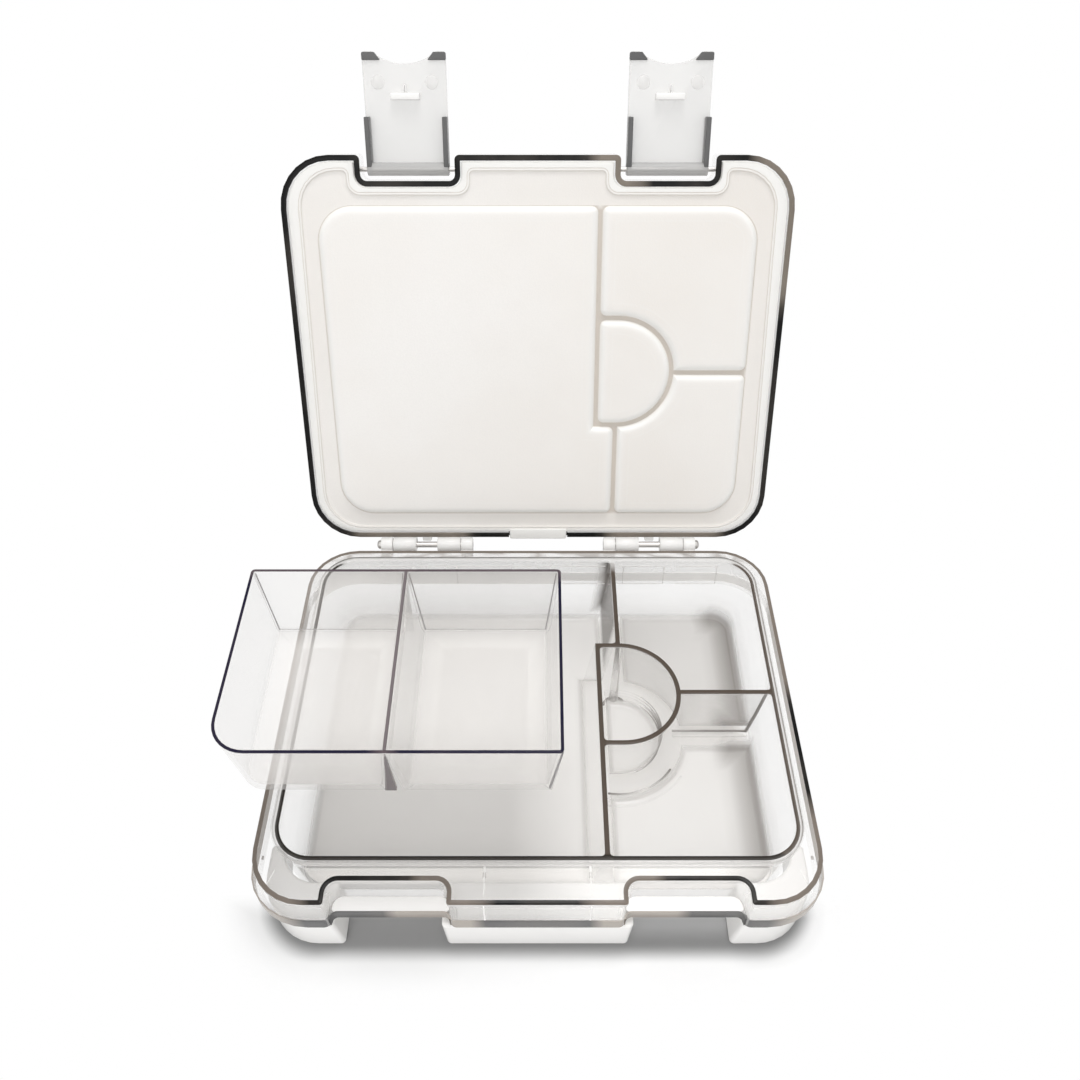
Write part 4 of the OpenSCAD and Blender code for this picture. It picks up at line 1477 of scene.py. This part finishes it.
        dark[:2] = self.outer_edge(flat[:2])
        self.shell.grid(raised(flat, profile[:, 1, None]), dark, profile[:, 3, None], (False, True))
        self.lines()
        piece = self.shell.make("compartment_tray_moulding", self.finishes.tray, casts=False)
        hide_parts("compartment_tray")
        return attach(piece, "compartment_tray")


@dataclass
class InsertTray:
    """The small tray: two cups that share a rim, square but for one corner, held above its seat."""

    plan: Plan
    finishes: Finishes
    left: float = -95.606
    right: float = 25.094
    front: float = -68.444
    back: float = 12.356
    low: float = 4.4
    top: float = 38.6
    lean: float = 3.898
    wall: float = 1.6
    line_w: float = 1.15
    divider_t: float = 2.0
    round_r: float = 13.34
    square_r: float = 1.6
    held: tuple[float, float, float] = (-16.0, 3.7, 73.4)
    shell: Shell = field(default_factory=Shell)

    def rim_tone(self, points: np.ndarray) -> np.ndarray:
        """Pale on the divider and along the back, dark on the rest of the rim and on the front edges.

        Args:
            points: points of the mesh.

        Returns:
            1 where the edge is pale, 0 where it is dark.
        """
        behind = step(points[:, 1], self.back - 4, self.back - 2)
        return np.maximum(behind * 0.8, step(np.abs(points[:, 0] - self.middle), 4.5, 3.5))

    @property
    def middle(self) -> float:
        """X of the shared wall."""
        return (self.left + self.right) / 2

    def outline(self, x0: float, x1: float, corner_r: float) -> Outline:
        """The outline of a half or of the whole: all but the front left corner are square."""
        square = rectangle(x0, x1, self.front, self.back, self.square_r)
        return outline([(x0, self.front, corner_r), *square[1:]], 10)

    def cup(self, ring: Ring, round_corner: bool) -> None:
        """One cup: outer wall from the rim down to a rounded foot, and an inner wall and floor in it.

        Square corners are seen edge on, so their columns are a little darker than the faces.

        Args:
            ring: gives the cup's outline drawn in by a distance.
            round_corner: whether its front left corner is the round one.
        """
        rise = self.top - self.low
        angle = np.linspace(0.0, np.pi / 2, 6)
        corner = np.tile(np.sin(np.linspace(0, np.pi, 10)), 4)
        corner[:10] *= 0.0 if round_corner else 1.0

        def wall(inset: float, floor: float, foot: float, white: float) -> np.ndarray:
            """Rows of inset, height, dark and white value for a leaning wall with a rounded foot.

            Args:
                inset: inset at the rim.
                floor: height of the floor.
                foot: radius of the foot.
                white: 1 for the inner wall, 0 for the outer one.

            Returns:
                The rows.
            """
            heights = np.array([self.top - 0.3, self.top - 0.9, 20.0, floor + foot + 2])
            rows = [(inset + self.lean * (self.top - z) / rise, z) for z in heights]
            start = inset + self.lean * (self.top - floor - foot) / rise
            rows += [*rounded_foot(start, floor, foot, angle)]
            rows += [(start + foot + 7, floor)]
            dark = np.array([0.0 if white else 0.9, 0.0, 0.0, 0.0, *(0.05 * np.sin(2 * angle)), 0.0])
            clouded = np.array([0.0, 0.08, 0.08, 0.1, *(0.12 + 0.2 * np.sin(angle) ** 2), 0.45])
            milk = clouded if white else np.minimum(2 * clouded, 0.16)
            return np.column_stack([rows, dark, milk])

        for table in (wall(0.0, self.low, 2.4, 0.0), wall(self.wall, self.low + self.wall, 1.6, 1.0)):
            flat = drawn_in(ring, table[:, 0])
            points = raised(flat, table[:, 1, None])
            thick = np.maximum(table[:, 2:3], 0.3 * corner * (table[:, 3:] < 0.3))
            self.shell.grid(points, thick, table[:, 3:], (False, True))

    def web(self) -> None:
        """Wedges that close the gap between the cups at the front and the back, wider towards the foot."""
        rise = self.top - self.low
        for y, sign in ((self.front, 1), (self.back, -1)):
            levels = np.array([self.top - 4.0, 20.0, self.low + 0.8])
            drift = self.lean * (self.top - levels) / rise
            half = np.maximum(0.6 * drift - 0.2, 0.15)
            near, far = y + sign * (drift + 0.1), y + sign * (drift + 1.5)
            columns = [(-half, near), (half, near), (half, far), (-half, far)]
            centre = self.middle - 0.45 * drift
            points = np.stack([np.stack([centre + x, depth, levels], 1) for x, depth in columns], 1)
            self.shell.grid(points, 0.85 if sign > 0 else 0.0, 0.0, (True, True))

    def lines(self) -> None:
        """Edges that stand out: the shared wall's crest, a front corner, corners and feet at the back."""
        lean, top, low = self.lean, self.top, self.low
        start = (self.right - 0.5, self.front + 0.5, top - 0.6)
        end = (self.right - lean - 0.6, self.front + lean + 0.6, low + 2)
        self.shell.rod(np.linspace(start, end, 5), np.linspace(0.35, 0.5, 5), 0.75)
        middle, inner = self.middle, self.wall
        columns = [(self.left + inner, 1), (middle - 1, -1), (middle + 1, 1), (self.right - inner, -1)]
        for x, sign in columns:
            start = (x + sign * 0.2, self.back - inner - 0.2, top - 0.8)
            end = (x + sign * (lean + 0.4), self.back - inner - lean - 0.4, low + 3)
            self.shell.rod(np.linspace(start, end, 4), 0.24, 0.6)
        crest = np.linspace((middle, self.front + 1.0, top - 0.65), (middle, self.back - 1.0, top - 0.65), 3)
        self.shell.rod(crest, 0.62, 0.9)
        for x0, x1 in ((self.left + inner, middle - 1), (middle + 1, self.right - inner)):
            ends = [(x, self.back - inner - lean - 0.4, low + 3) for x in (x0 + lean + 0.4, x1 - lean - 0.4)]
            self.shell.rod(np.linspace(*ends, 3), 0.18, 0.35)

    def build(self) -> bpy.types.Object:
        """Build the insert where it is held and let it ride on its own body.

        Returns:
            The insert.
        """
        self.shell.tone = self.rim_tone
        shared = self.wall - self.divider_t / 2
        halves = [
            self.outline(self.left, self.middle + shared, self.round_r).corners,
            self.outline(self.middle - shared, self.right, self.square_r).corners,
        ]
        for number, ring in enumerate(halves):
            self.cup(ring, number == 0)
        drop = self.lean * 0.3 / (self.top - self.low)
        whole = self.outline(self.left, self.right, self.round_r).ring
        line, edge = self.line_w, self.wall + drop
        for ring in halves:
            self.shell.plate([ring(drop), ring(edge)], self.top - 0.3, (0.9, 0.0))
        low, high = self.top - 0.28, self.top
        crown = [(drop, low), (0.2, high - 0.06), (0.4, high), (line - 0.3, high), (line - 0.1, high - 0.06)]
        crown += [(line, low), (drop, low)]
        self.shell.rows(whole, [(inset, z, 1.0, 0.0) for inset, z in crown])
        self.web()
        self.lines()
        self.shell.move(lambda points: points + np.array(self.held))
        piece = self.shell.make("insert_tray_moulding", self.finishes.insert)
        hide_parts("insert_tray")
        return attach(piece, "insert_tray")


@dataclass
class Lid:
    """The lid's clear shell: wall with a dark rim face, rounded top, inner knuckles, slot for the tab."""

    plan: Plan
    finishes: Finishes
    height: float = 15.0
    wall: float = 2.3
    top_t: float = 2.0
    round_r: float = 3.0
    shoulder: float = 3.7
    pocket: float = 4.5
    notch_half: float = 20.0
    notch_depth: float = 10.3
    slot_half: float = 14.4
    slot_rise: float = 2.3
    knuckle_l: float = 11.4
    knuckle_at: tuple[float, float] = (-16.6, 5.2)
    lug_half: float = 2.2
    shell: Shell = field(default_factory=Shell)

    def rim_tone(self, points: np.ndarray) -> np.ndarray:
        """Pale stretches of the rim face: front right corner, beside the right notch, part of the back.

        Args:
            points: points of the mesh.

        Returns:
            1 where the edge is pale, 0 where it is dark.
        """
        x, y = points[:, 0], points[:, 1]
        corner = step(x, 88, 96) * step(y, -20, -34)
        notch = step(x, 20, 24) * step(x, 46, 42) * step(y, -70, -76)
        behind = step(y, 84, 86) * step(np.abs(x), 30, 40) * step(np.abs(x), 95, 84)
        return np.maximum(np.maximum(corner, notch), behind)

    def outline(self) -> Outline:
        """The lid's outer edge with its two latch notches."""
        return self.plan.notched(self.notch_half, self.notch_half, self.notch_depth, 2.6, 2.0, self.slot_half)

    def wall_and_top(self) -> None:
        """One profile round the outline: inner pocket, rim face, outer wall, rounded edge and flat top.

        Within the slot in the back edge the rows of the rim face are lifted.
        """
        base = self.plan.rim_z
        high = base + self.height
        angle = np.linspace(0, np.pi / 2, 7)
        table = [
            (self.wall + self.shoulder, high - self.top_t, 0.03),
            (self.wall + self.shoulder, base + self.pocket, 0.05),
            (self.wall, base + self.pocket, 0.06),
            (self.wall, base + 1.0, 0.6),
            (self.wall, base + 0.3, 1.0),
            (self.wall - 0.2, base, 1.0),
            (0.2, base, 1.0),
            (0.03, base + 0.12, 1.0),
            (0.0, base + 0.5, 1.0),
            (0.0, base + 0.9, 0.3),
            (0.0, base + 1.6, 0.1),
            (0.0, base + 8.0, 0.03),
        ]
        table += [
            (
                self.round_r * (1 - np.cos(a)),
                high - self.round_r * (1 - np.sin(a)),
                0.04 + 0.05 * np.sin(2 * a),
            )
            for a in angle
        ]
        table += [(self.round_r + 4, high, 0.02)]
        profile = np.array(table)
        ring = self.outline().ring
        flat = drawn_in(ring, profile[:, 0])
        height = np.repeat(profile[:, 1, None], flat.shape[1], 1)
        slot = (np.abs(flat[..., 0]) < self.slot_half - 0.02) & (flat[..., 1] > self.plan.half_d - 8)
        height = np.where(slot & (height < base + 2.0), height + self.slot_rise, height)
        self.shell.grid(raised(flat, height), profile[:, 2, None], 0.0, (True, True))

    def knuckles(self) -> None:
        """Two long knuckles and a small lug on each hinge."""
        for side in Side:
            station = side.value * self.plan.station_x
            for offset in self.knuckle_at:
                self.plan.knuckle(self.shell, station + offset, self.knuckle_l, True)
            y0, y1 = self.plan.half_d - 1.15, self.plan.hinge_y - 1.8
            lug = outline(rectangle(station - self.lug_half, station + self.lug_half, y0, y1, 0.3, 0.6), 4)
            low = self.plan.rim_z + 0.3
            self.shell.solid(lug.ring, low, low + 3.3, 0.3, (0.1, 0.15, 0.1), 0.6)

    def build(self) -> bpy.types.Object:
        """Build the lid open and let it ride on its body.

        Returns:
            The lid's shell.
        """
        self.shell.tone = self.rim_tone
        self.wall_and_top()
        self.knuckles()
        self.shell.move(self.plan.on_lid)
        piece = self.shell.make("lid_moulding", self.finishes.lid, casts=False)
        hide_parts("lid_shell")
        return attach(piece, "lid")


@dataclass
class Seal:
    """The soft seal in the lid: white band, double bead, ivory frame, four raised panels and a pull tab."""

    plan: Plan
    finishes: Finishes
    lid: Lid
    clear: float = 0.45
    face: float = 1.3
    back: float = 4.4
    panel_h: float = 2.05
    margin: tuple[float, float, float, float] = (7.7, 6.6, 3.0, 1.2)
    field_half: float = 95.9
    field_y: tuple[float, float] = (-67.9, 75.9)
    field_r: float = 16.0
    tab_half: float = 14.0
    tab_y: tuple[float, float] = (83.7, 89.1)
    shell: Shell = field(default_factory=Shell)

    def bead(self) -> Outline:
        """The line of the double bead: further from the lid's edge at the front than at the hinges.

        Returns:
            The outline.
        """
        front, back, beside = -self.plan.half_d + 5.0, self.plan.half_d - 4.3, 4.8
        near, far = self.plan.half_w - 7.4, self.plan.half_w - 5.4
        inner, outer = self.plan.station_x - self.lid.notch_half, self.plan.station_x + self.lid.notch_half
        low = -self.plan.half_d + self.lid.notch_depth + 4.4
        right = [
            (inner - beside, front, 3.0),
            (inner - beside, low, 4.0),
            (outer + beside, low, 4.0),
            (outer + beside, front, 3.0),
            (near, front, 17.0),
            (far, back, 19.0),
        ]
        return outline(mirrored(right) + right)

    @property
    def level(self) -> float:
        """Height of the frame on the shut lid."""
        return self.plan.rim_z + self.face

    def band(self) -> None:
        """The skirt behind the lid's wall, the flat white band and the double bead."""
        base, z = self.plan.rim_z, self.level
        edge, bead = self.lid.outline().ring, self.bead().ring
        start = self.lid.wall + self.clear
        skirt = [
            (self.lid.wall + 2 * self.lid.shoulder, base + 2.6, 0.0, 0.6),
            (self.lid.wall + 2 * self.lid.shoulder, base + self.back, 0.0, 0.6),
            (start, base + self.back, 0.0, 0.6),
            (start, z - 0.1, 0.15, 0.8),
            (start + 0.3, z - 0.5, 0.0, 1.0),
            (start + 0.8, z - 0.6, 0.0, 1.0),
        ]
        self.shell.rows(edge, skirt, (True, False))
        self.shell.plate([edge(start + 0.8), bead(0.0)], z - 0.6, (0.0, 0.0), 1.0)
        ridge = [
            (0.0, z - 0.6, 0.0, 1.0),
            (0.15, z - 0.45, 0.55, 0.0),
            (0.45, z - 0.5, 0.3, 0.3),
            (0.8, z - 0.65, 0.05, 0.7),
            (1.1, z - 0.6, 0.2, 0.2),
            (1.35, z - 0.35, 0.5, 0.0),
            (1.6, z - 0.12, 0.15, 0.1),
            (1.9, z, 0.1, 0.05),
            (3.4, z, 0.1, 0.0),
        ]
        self.shell.rows(bead, ridge)

    def panels(self) -> list[np.ndarray]:
        """The four raised panels: taupe grooves of painted shade at their feet, rounded edges with a painted
        highlight, flat faces and a fine line on each.

        Returns:
            The rings of the panels' feet.
        """
        z = self.level
        feet: list[np.ndarray] = []
        for drawn in self.plan.compartments(self.margin):
            feet.append(drawn(-1.35))
            # painted shade at the panel's foot, then a painted highlight on its rounded edge
            panel = [
                (-1.35, z, 0.75, 0.0),
                (-1.2, z - 0.15, 0.4, 0.2),
                (-0.8, z - 0.6, 0.06, 0.8),
                (-0.2, z - 1.3, 0.0, 1.0),
                (0.5, z - 1.75, 0.0, 1.0),
                (1.2, z - 1.95, 0.0, 0.5),
                (2.2, z - self.panel_h, 0.0, 0.15),
                (4.0, z - self.panel_h, 0.0, 0.0),
                (4.6, z - self.panel_h, 0.0, 0.25),
                (5.2, z - self.panel_h, 0.0, 0.0),
            ]
            self.shell.rows(drawn, panel, (False, True))
        return feet

    def build(self) -> bpy.types.Object:
        """Build the seal in the open lid, with its frame and its tab, and let it ride on its body.

        Returns:
            The seal.
        """
        self.band()
        feet = self.panels()
        around = outline(rectangle(-self.field_half, self.field_half, *self.field_y, self.field_r), 14)
        frame = [self.bead().ring(3.4), *feet, around.ring(0.0)]
        # painted shade: the frame darkens towards the panels' feet
        self.shell.plate(frame, self.level, (0.1, *(0.75 for _ in feet), 0.1), holes=len(feet))
        tab = rectangle(-self.tab_half, self.tab_half, *self.tab_y, 0.6, 1.0)
        low = self.plan.rim_z + 0.3
        self.shell.solid(outline(tab, 5).ring, low, low + 1.8, 0.5, (0, 0, 0), 0.95)
        self.shell.move(self.plan.on_lid)
        piece = self.shell.make("lid_seal_sheet", self.finishes.seal)
        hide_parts("lid_seal")
        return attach(piece, "lid_seal")


@dataclass
class Latch:
    """A latch: plate with a finger cut, dark tips and cheeks, barrel, hook bar with its rib, mould marks."""

    plan: Plan
    finishes: Finishes
    side: Side
    width: float = 34.5
    length: float = 45.0
    plate: tuple[float, float] = (-87.0, -84.8)
    pivot_y: float = -82.0
    pivot_z: float = 47.0
    barrel_r: float = 2.6
    cheek: tuple[float, float, float] = (2.0, 20.5, 5.2)
    hook: tuple[float, float, float] = (12.0, 17.5, 20.0)
    finger_r: float = 22.0
    finger_depth: float = 4.5
    mark: tuple[float, float, float] = (11.2, 11.5, 2.6)
    shell: Shell = field(default_factory=Shell)

    def upright(self, points: np.ndarray) -> np.ndarray:
        """Points drawn as (x, height, depth) turned into (x, depth, height)."""
        return points[..., [0, 2, 1]]

    def plate_ring(self, inset: float) -> np.ndarray:
        """The plate's outline: a rectangle whose lower edge is cut by a circle for the finger.

        Args:
            inset: distance to draw in.

        Returns:
            The ring's points, counter-clockwise.
        """
        half, end = self.width / 2 - inset, self.pivot_z - self.length + inset
        radius = self.finger_r + inset
        centre = self.pivot_z - self.length + self.finger_depth - self.finger_r
        reach = np.sqrt(radius**2 - (end - centre) ** 2)
        angle = np.degrees(np.arcsin(np.clip(reach / radius, 0, 1)))
        r = max(1.2 - inset, 0.3)
        top = self.pivot_z - inset
        return np.concatenate(
            [
                arc((-half + r, end + r), r, 180, 270, 5),
                arc((0.0, centre), radius, 90 + angle, 90 - angle, 24),
                arc((half - r, end + r), r, 270, 360, 5),
                [[half, top], [-half, top]],
            ]
        )

    def block(
        self, x0: float, x1: float, z0: float, z1: float, y0: float, y1: float, thick: float, haze: float
    ) -> None:
        """A bar with rounded edges between two corners."""
        bar = outline(rectangle(x0, x1, z0, z1, 0.4), 4)
        self.shell.solid(bar.ring, y0, y1, 0.3, (thick, thick, thick), haze, self.upright)

    def tips(self) -> None:
        """The dark corner tips beside the finger cut, a little thicker than the plate."""
        end = self.pivot_z - self.length
        for sign in (-1, 1):
            tip = [
                (17.25, end + 0.25, 0.6),
                (17.25, end + 3.3, 0.4),
                (9.6, end + 3.3, 0.3),
                (12.2, end + 0.25, 0.6),
            ]
            shape = tip if sign > 0 else mirrored(tip)
            near, far = self.plate[0] + 0.02, self.plate[1] + 0.5
            self.shell.solid(outline(shape, 4).ring, near, far, 0.25, (1, 1, 1), 0.0, self.upright)

    def build(self) -> bpy.types.Object:
        """Build the latch open and let it ride on its body.

        Returns:
            The latch.
        """
        near, far = self.plate
        half = self.width / 2
        self.shell.solid(self.plate_ring, near, far, 0.4, (0.06, 0.0, 0.06), 0.35, self.upright)
        self.tips()
        cheek_t, cheek_l, cheek_d = self.cheek
        for sign in (-1, 1):
            x0, x1 = sorted((sign * half, sign * (half - cheek_t)))
            self.block(x0, x1, self.pivot_z - cheek_l, self.pivot_z, near + 0.05, far + cheek_d, 1.0, 0.0)
            x, z, r = sign * self.mark[0], self.pivot_z - self.length + self.mark[1], self.mark[2]
            mark = outline(rectangle(x - r, x + r, z - r, z + r, r), 8)
            self.shell.solid(mark.ring, far - 0.1, far + 0.12, 0.08, (0, 0, 0), 0.75, self.upright)
        end_r = self.barrel_r - 0.3
        profile = [(-half, end_r), (0.2 - half, self.barrel_r), (half - 0.2, self.barrel_r), (half, end_r)]
        self.shell.turned(profile, self.pivot_y, self.pivot_z, 0.4, 0.3)
        low, high = self.pivot_z - self.barrel_r, self.pivot_z + self.barrel_r
        self.block(-half, half, low, high, near, self.pivot_y, 0.06, 0.4)
        hook_w, hook_low, hook_high = self.hook
        self.block(-hook_w / 2, hook_w / 2, hook_low, hook_high, near + 0.1, far + 2.6, 0.0, 1.0)
        self.block(-0.5, 0.5, hook_low - 3.2, hook_low + 0.2, far - 0.1, far + 1.6, 0.0, 1.0)
        x = self.side.value * self.plan.station_x
        self.shell.move(lambda points: points + np.array([x, 0.0, 0.0]))
        self.shell.move(lambda points: swing(points, self.pivot_y, self.pivot_z, -90.0))
        self.shell.move(self.plan.on_lid)
        name = f"{self.side.name.lower()}_latch"
        piece = self.shell.make(f"{name}_moulding", self.finishes.latch)
        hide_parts(name)
        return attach(piece, name)


@dataclass
class HingePin:
    """A hinge pin: drawn wire with a domed head at its outer end."""

    plan: Plan
    finishes: Finishes
    side: Side
    half: float = 22.7
    radius: float = 1.5
    head: tuple[float, float] = (2.3, 2.2)
    shell: Shell = field(default_factory=Shell)

    def build(self) -> bpy.types.Object:
        """Turn the pin: a cylinder, then a short collar, then an elliptic dome; it rides on the base.

        Returns:
            The pin.
        """
        head_r, head_l = self.head
        angle = np.linspace(0, np.pi / 2 - 0.12, 9)
        dome = np.column_stack([self.half + 0.6 + (head_l - 0.6) * np.sin(angle), head_r * np.cos(angle)])
        shaft = [
            (-self.half, self.radius - 0.3),
            (0.3 - self.half, self.radius),
            (self.half + 0.05, self.radius),
        ]
        collar = [(self.half + 0.05, head_r - 0.15), (self.half + 0.2, head_r)]
        profile = np.array([*shaft, *collar, *dome.tolist()])
        profile[:, 0] = self.side.value * (profile[:, 0] + self.plan.station_x)
        self.shell.turned(profile.tolist(), self.plan.hinge_y, self.plan.rim_z)
        name = f"{self.side.name.lower()}_hinge_pin"
        piece = self.shell.make(f"{name}_wire", self.finishes.steel)
        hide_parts(name)
        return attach(piece, "base")


# The studio


@dataclass
class Studio:
    """Pale floor, soft light and the camera at the photo's view."""

    lens: float = 32.08
    camera_at: Colour = (0.000939, -0.22836, 0.396976)
    tilt: float = 42.334
    floor_half: float = 4.0
    floor_z: float = -0.0004
    print_half: Colour = (0.088, 0.066, 0.0)
    print_r: float = 0.0215
    painted_shadow_width: float = 0.008
    painted_shadow_grey: Colour = (0.34, 0.34, 0.34)
    floor_grey: Colour = (0.87, 0.87, 0.87)
    fade: tuple[float, float] = (0.005, 0.025)
    back_y: tuple[float, float] = (-0.078, -0.066)
    surround: float = 0.64

    def floor(self) -> None:
        """A pale floor that keeps the shadow in front of the box, has a painted shadow of grey along the
        box's footprint, and is white around and behind it.

        The gap is the distance from the box's rounded footprint: the length of what lies beyond the centres
        of its corners, less the corners' radius.
        """
        half = self.floor_half
        mesh = bpy.data.meshes.new("studio_floor")
        corners = [(x, y, self.floor_z) for x, y, _ in rectangle(-half, half, -half, half, 0.0)]
        mesh.from_pydata(corners, [], [(0, 1, 2, 3)])
        graph = Graph("studio_floor_white")
        rays = graph.node("ShaderNodeLightPath").outputs
        seen = graph.math("MAXIMUM", rays["Is Glossy Ray"], rays["Is Transmission Ray"])
        seen = graph.math("MAXIMUM", rays["Is Camera Ray"], seen)
        shade = graph.node("ShaderNodeBsdfDiffuse")
        white = graph.node("ShaderNodeEmission")
        graph.feed(white, Color=(1.0, 1.0, 1.0, 1.0), Strength=1.0)
        mirrored = graph.node("ShaderNodeVectorMath", operation="ABSOLUTE")
        graph.feed(mirrored, i0=graph.place())
        beyond = graph.node("ShaderNodeVectorMath", operation="SUBTRACT")
        graph.feed(beyond, i0=mirrored.outputs[0], i1=self.print_half)
        outside = graph.node("ShaderNodeVectorMath", operation="MAXIMUM")
        graph.feed(outside, i0=beyond.outputs[0], i1=(0.0, 0.0, 0.0))
        apart = graph.node("ShaderNodeVectorMath", operation="LENGTH")
        graph.feed(apart, i0=outside.outputs[0])
        gap = graph.math("SUBTRACT", apart.outputs["Value"], self.print_r)
        # painted shadow: the floor's colour turns grey within 8 mm of the footprint
        painted_shadow = graph.ramp(gap, 0.0, self.painted_shadow_width)
        graph.feed(shade, Color=graph.blend(painted_shadow, self.painted_shadow_grey, self.floor_grey))
        depth = graph.node("ShaderNodeSeparateXYZ")
        graph.feed(depth, i0=graph.place())
        behind = graph.ramp(depth.outputs["Y"], *self.back_y)
        away = graph.math("MAXIMUM", graph.ramp(gap, *self.fade), behind)
        mixed = graph.node("ShaderNodeMixShader")
        graph.feed(mixed, i0=graph.math("MULTIPLY", seen, away), i1=shade.outputs[0], i2=white.outputs[0])
        mesh.materials.append(graph.finish(mixed))
        floor = bpy.data.objects.new("studio_floor", mesh)
        bpy.context.scene.collection.objects.link(floor)

    def lights(self) -> None:
        """White surroundings, a soft lamp above the back and a weaker one in front."""
        world = bpy.data.worlds.new("studio_world")
        bpy.context.scene.world = world
        world.use_nodes = True
        tree = world.node_tree
        rays = tree.nodes.new("ShaderNodeLightPath").outputs
        ground = tree.nodes["Background"]
        ground.inputs["Color"].default_value = (1.0, 1.0, 1.0, 1.0)
        strength = tree.nodes.new("ShaderNodeMapRange")
        strength.inputs["To Min"].default_value = 1.0
        strength.inputs["To Max"].default_value = self.surround
        tree.links.new(rays["Is Diffuse Ray"], strength.inputs["Value"])
        tree.links.new(strength.outputs["Result"], ground.inputs["Strength"])
        self.lamp("soft_box", 6.5, (0.45, 0.35), (0.06, 0.22, 1.3), (-9.6, 2.6))
        self.lamp("front_fill", 3.0, (0.9, 0.6), (-0.15, -0.75, 0.75), (46.0, -9.0))

    def lamp(
        self, name: str, watts: float, size: tuple[float, float], at: Colour, turn: tuple[float, float]
    ) -> None:
        """Add an area lamp.

        Args:
            name: name of the lamp.
            watts: its power.
            size: its width and depth.
            at: where it hangs.
            turn: degrees about X and Y that it is turned by from facing down.
        """
        light = bpy.data.lights.new(name, "AREA")
        light.shape = "RECTANGLE"
        light.size, light.size_y = size
        light.energy = watts
        holder = bpy.data.objects.new(name, light)
        holder.location = at
        holder.rotation_euler = (np.radians(turn[0]), np.radians(turn[1]), 0.0)
        bpy.context.scene.collection.objects.link(holder)

    def camera(self) -> None:
        """The camera, fitted to the photo's edges: no shift, no depth of field."""
        data = bpy.data.cameras.new("photo_camera")
        data.sensor_width = 36.0
        data.lens = self.lens
        data.clip_start = 0.01
        camera = bpy.data.objects.new("photo_camera", data)
        camera.location = self.camera_at
        camera.rotation_euler = (np.radians(self.tilt), 0.0, 0.0)
        bpy.context.scene.collection.objects.link(camera)
        bpy.context.scene.camera = camera

    def build(self) -> None:
        """Set up floor, light, camera and the plain view transform."""
        self.floor()
        self.lights()
        self.camera()
        bpy.context.scene.view_settings.view_transform = "Standard"


def main() -> None:
    """Load the frame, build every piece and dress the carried-over pins."""
    logging.basicConfig(level=logging.INFO, format="%(name)s: %(message)s")
    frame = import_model()
    finishes, plan = Finishes.make(), Plan()
    Studio().build()
    lid = Lid(plan, finishes)
    makers = [Case(plan, finishes), CompartmentTray(plan, finishes), InsertTray(plan, finishes), lid]
    makers += [Seal(plan, finishes, lid)]
    makers += [Latch(plan, finishes, side) for side in Side]
    makers += [HingePin(plan, finishes, side) for side in Side]
    for maker in makers:
        piece = maker.build()
        LOG.info("%s: %d faces", piece.name, len(piece.data.polygons))
    for side in Side:
        pin = frame["nodes"][f"{side.name.lower()}_latch_pin"]
        pin.data.materials.clear()
        pin.data.materials.append(finishes.steel)


if __name__ == "__main__":
    main()
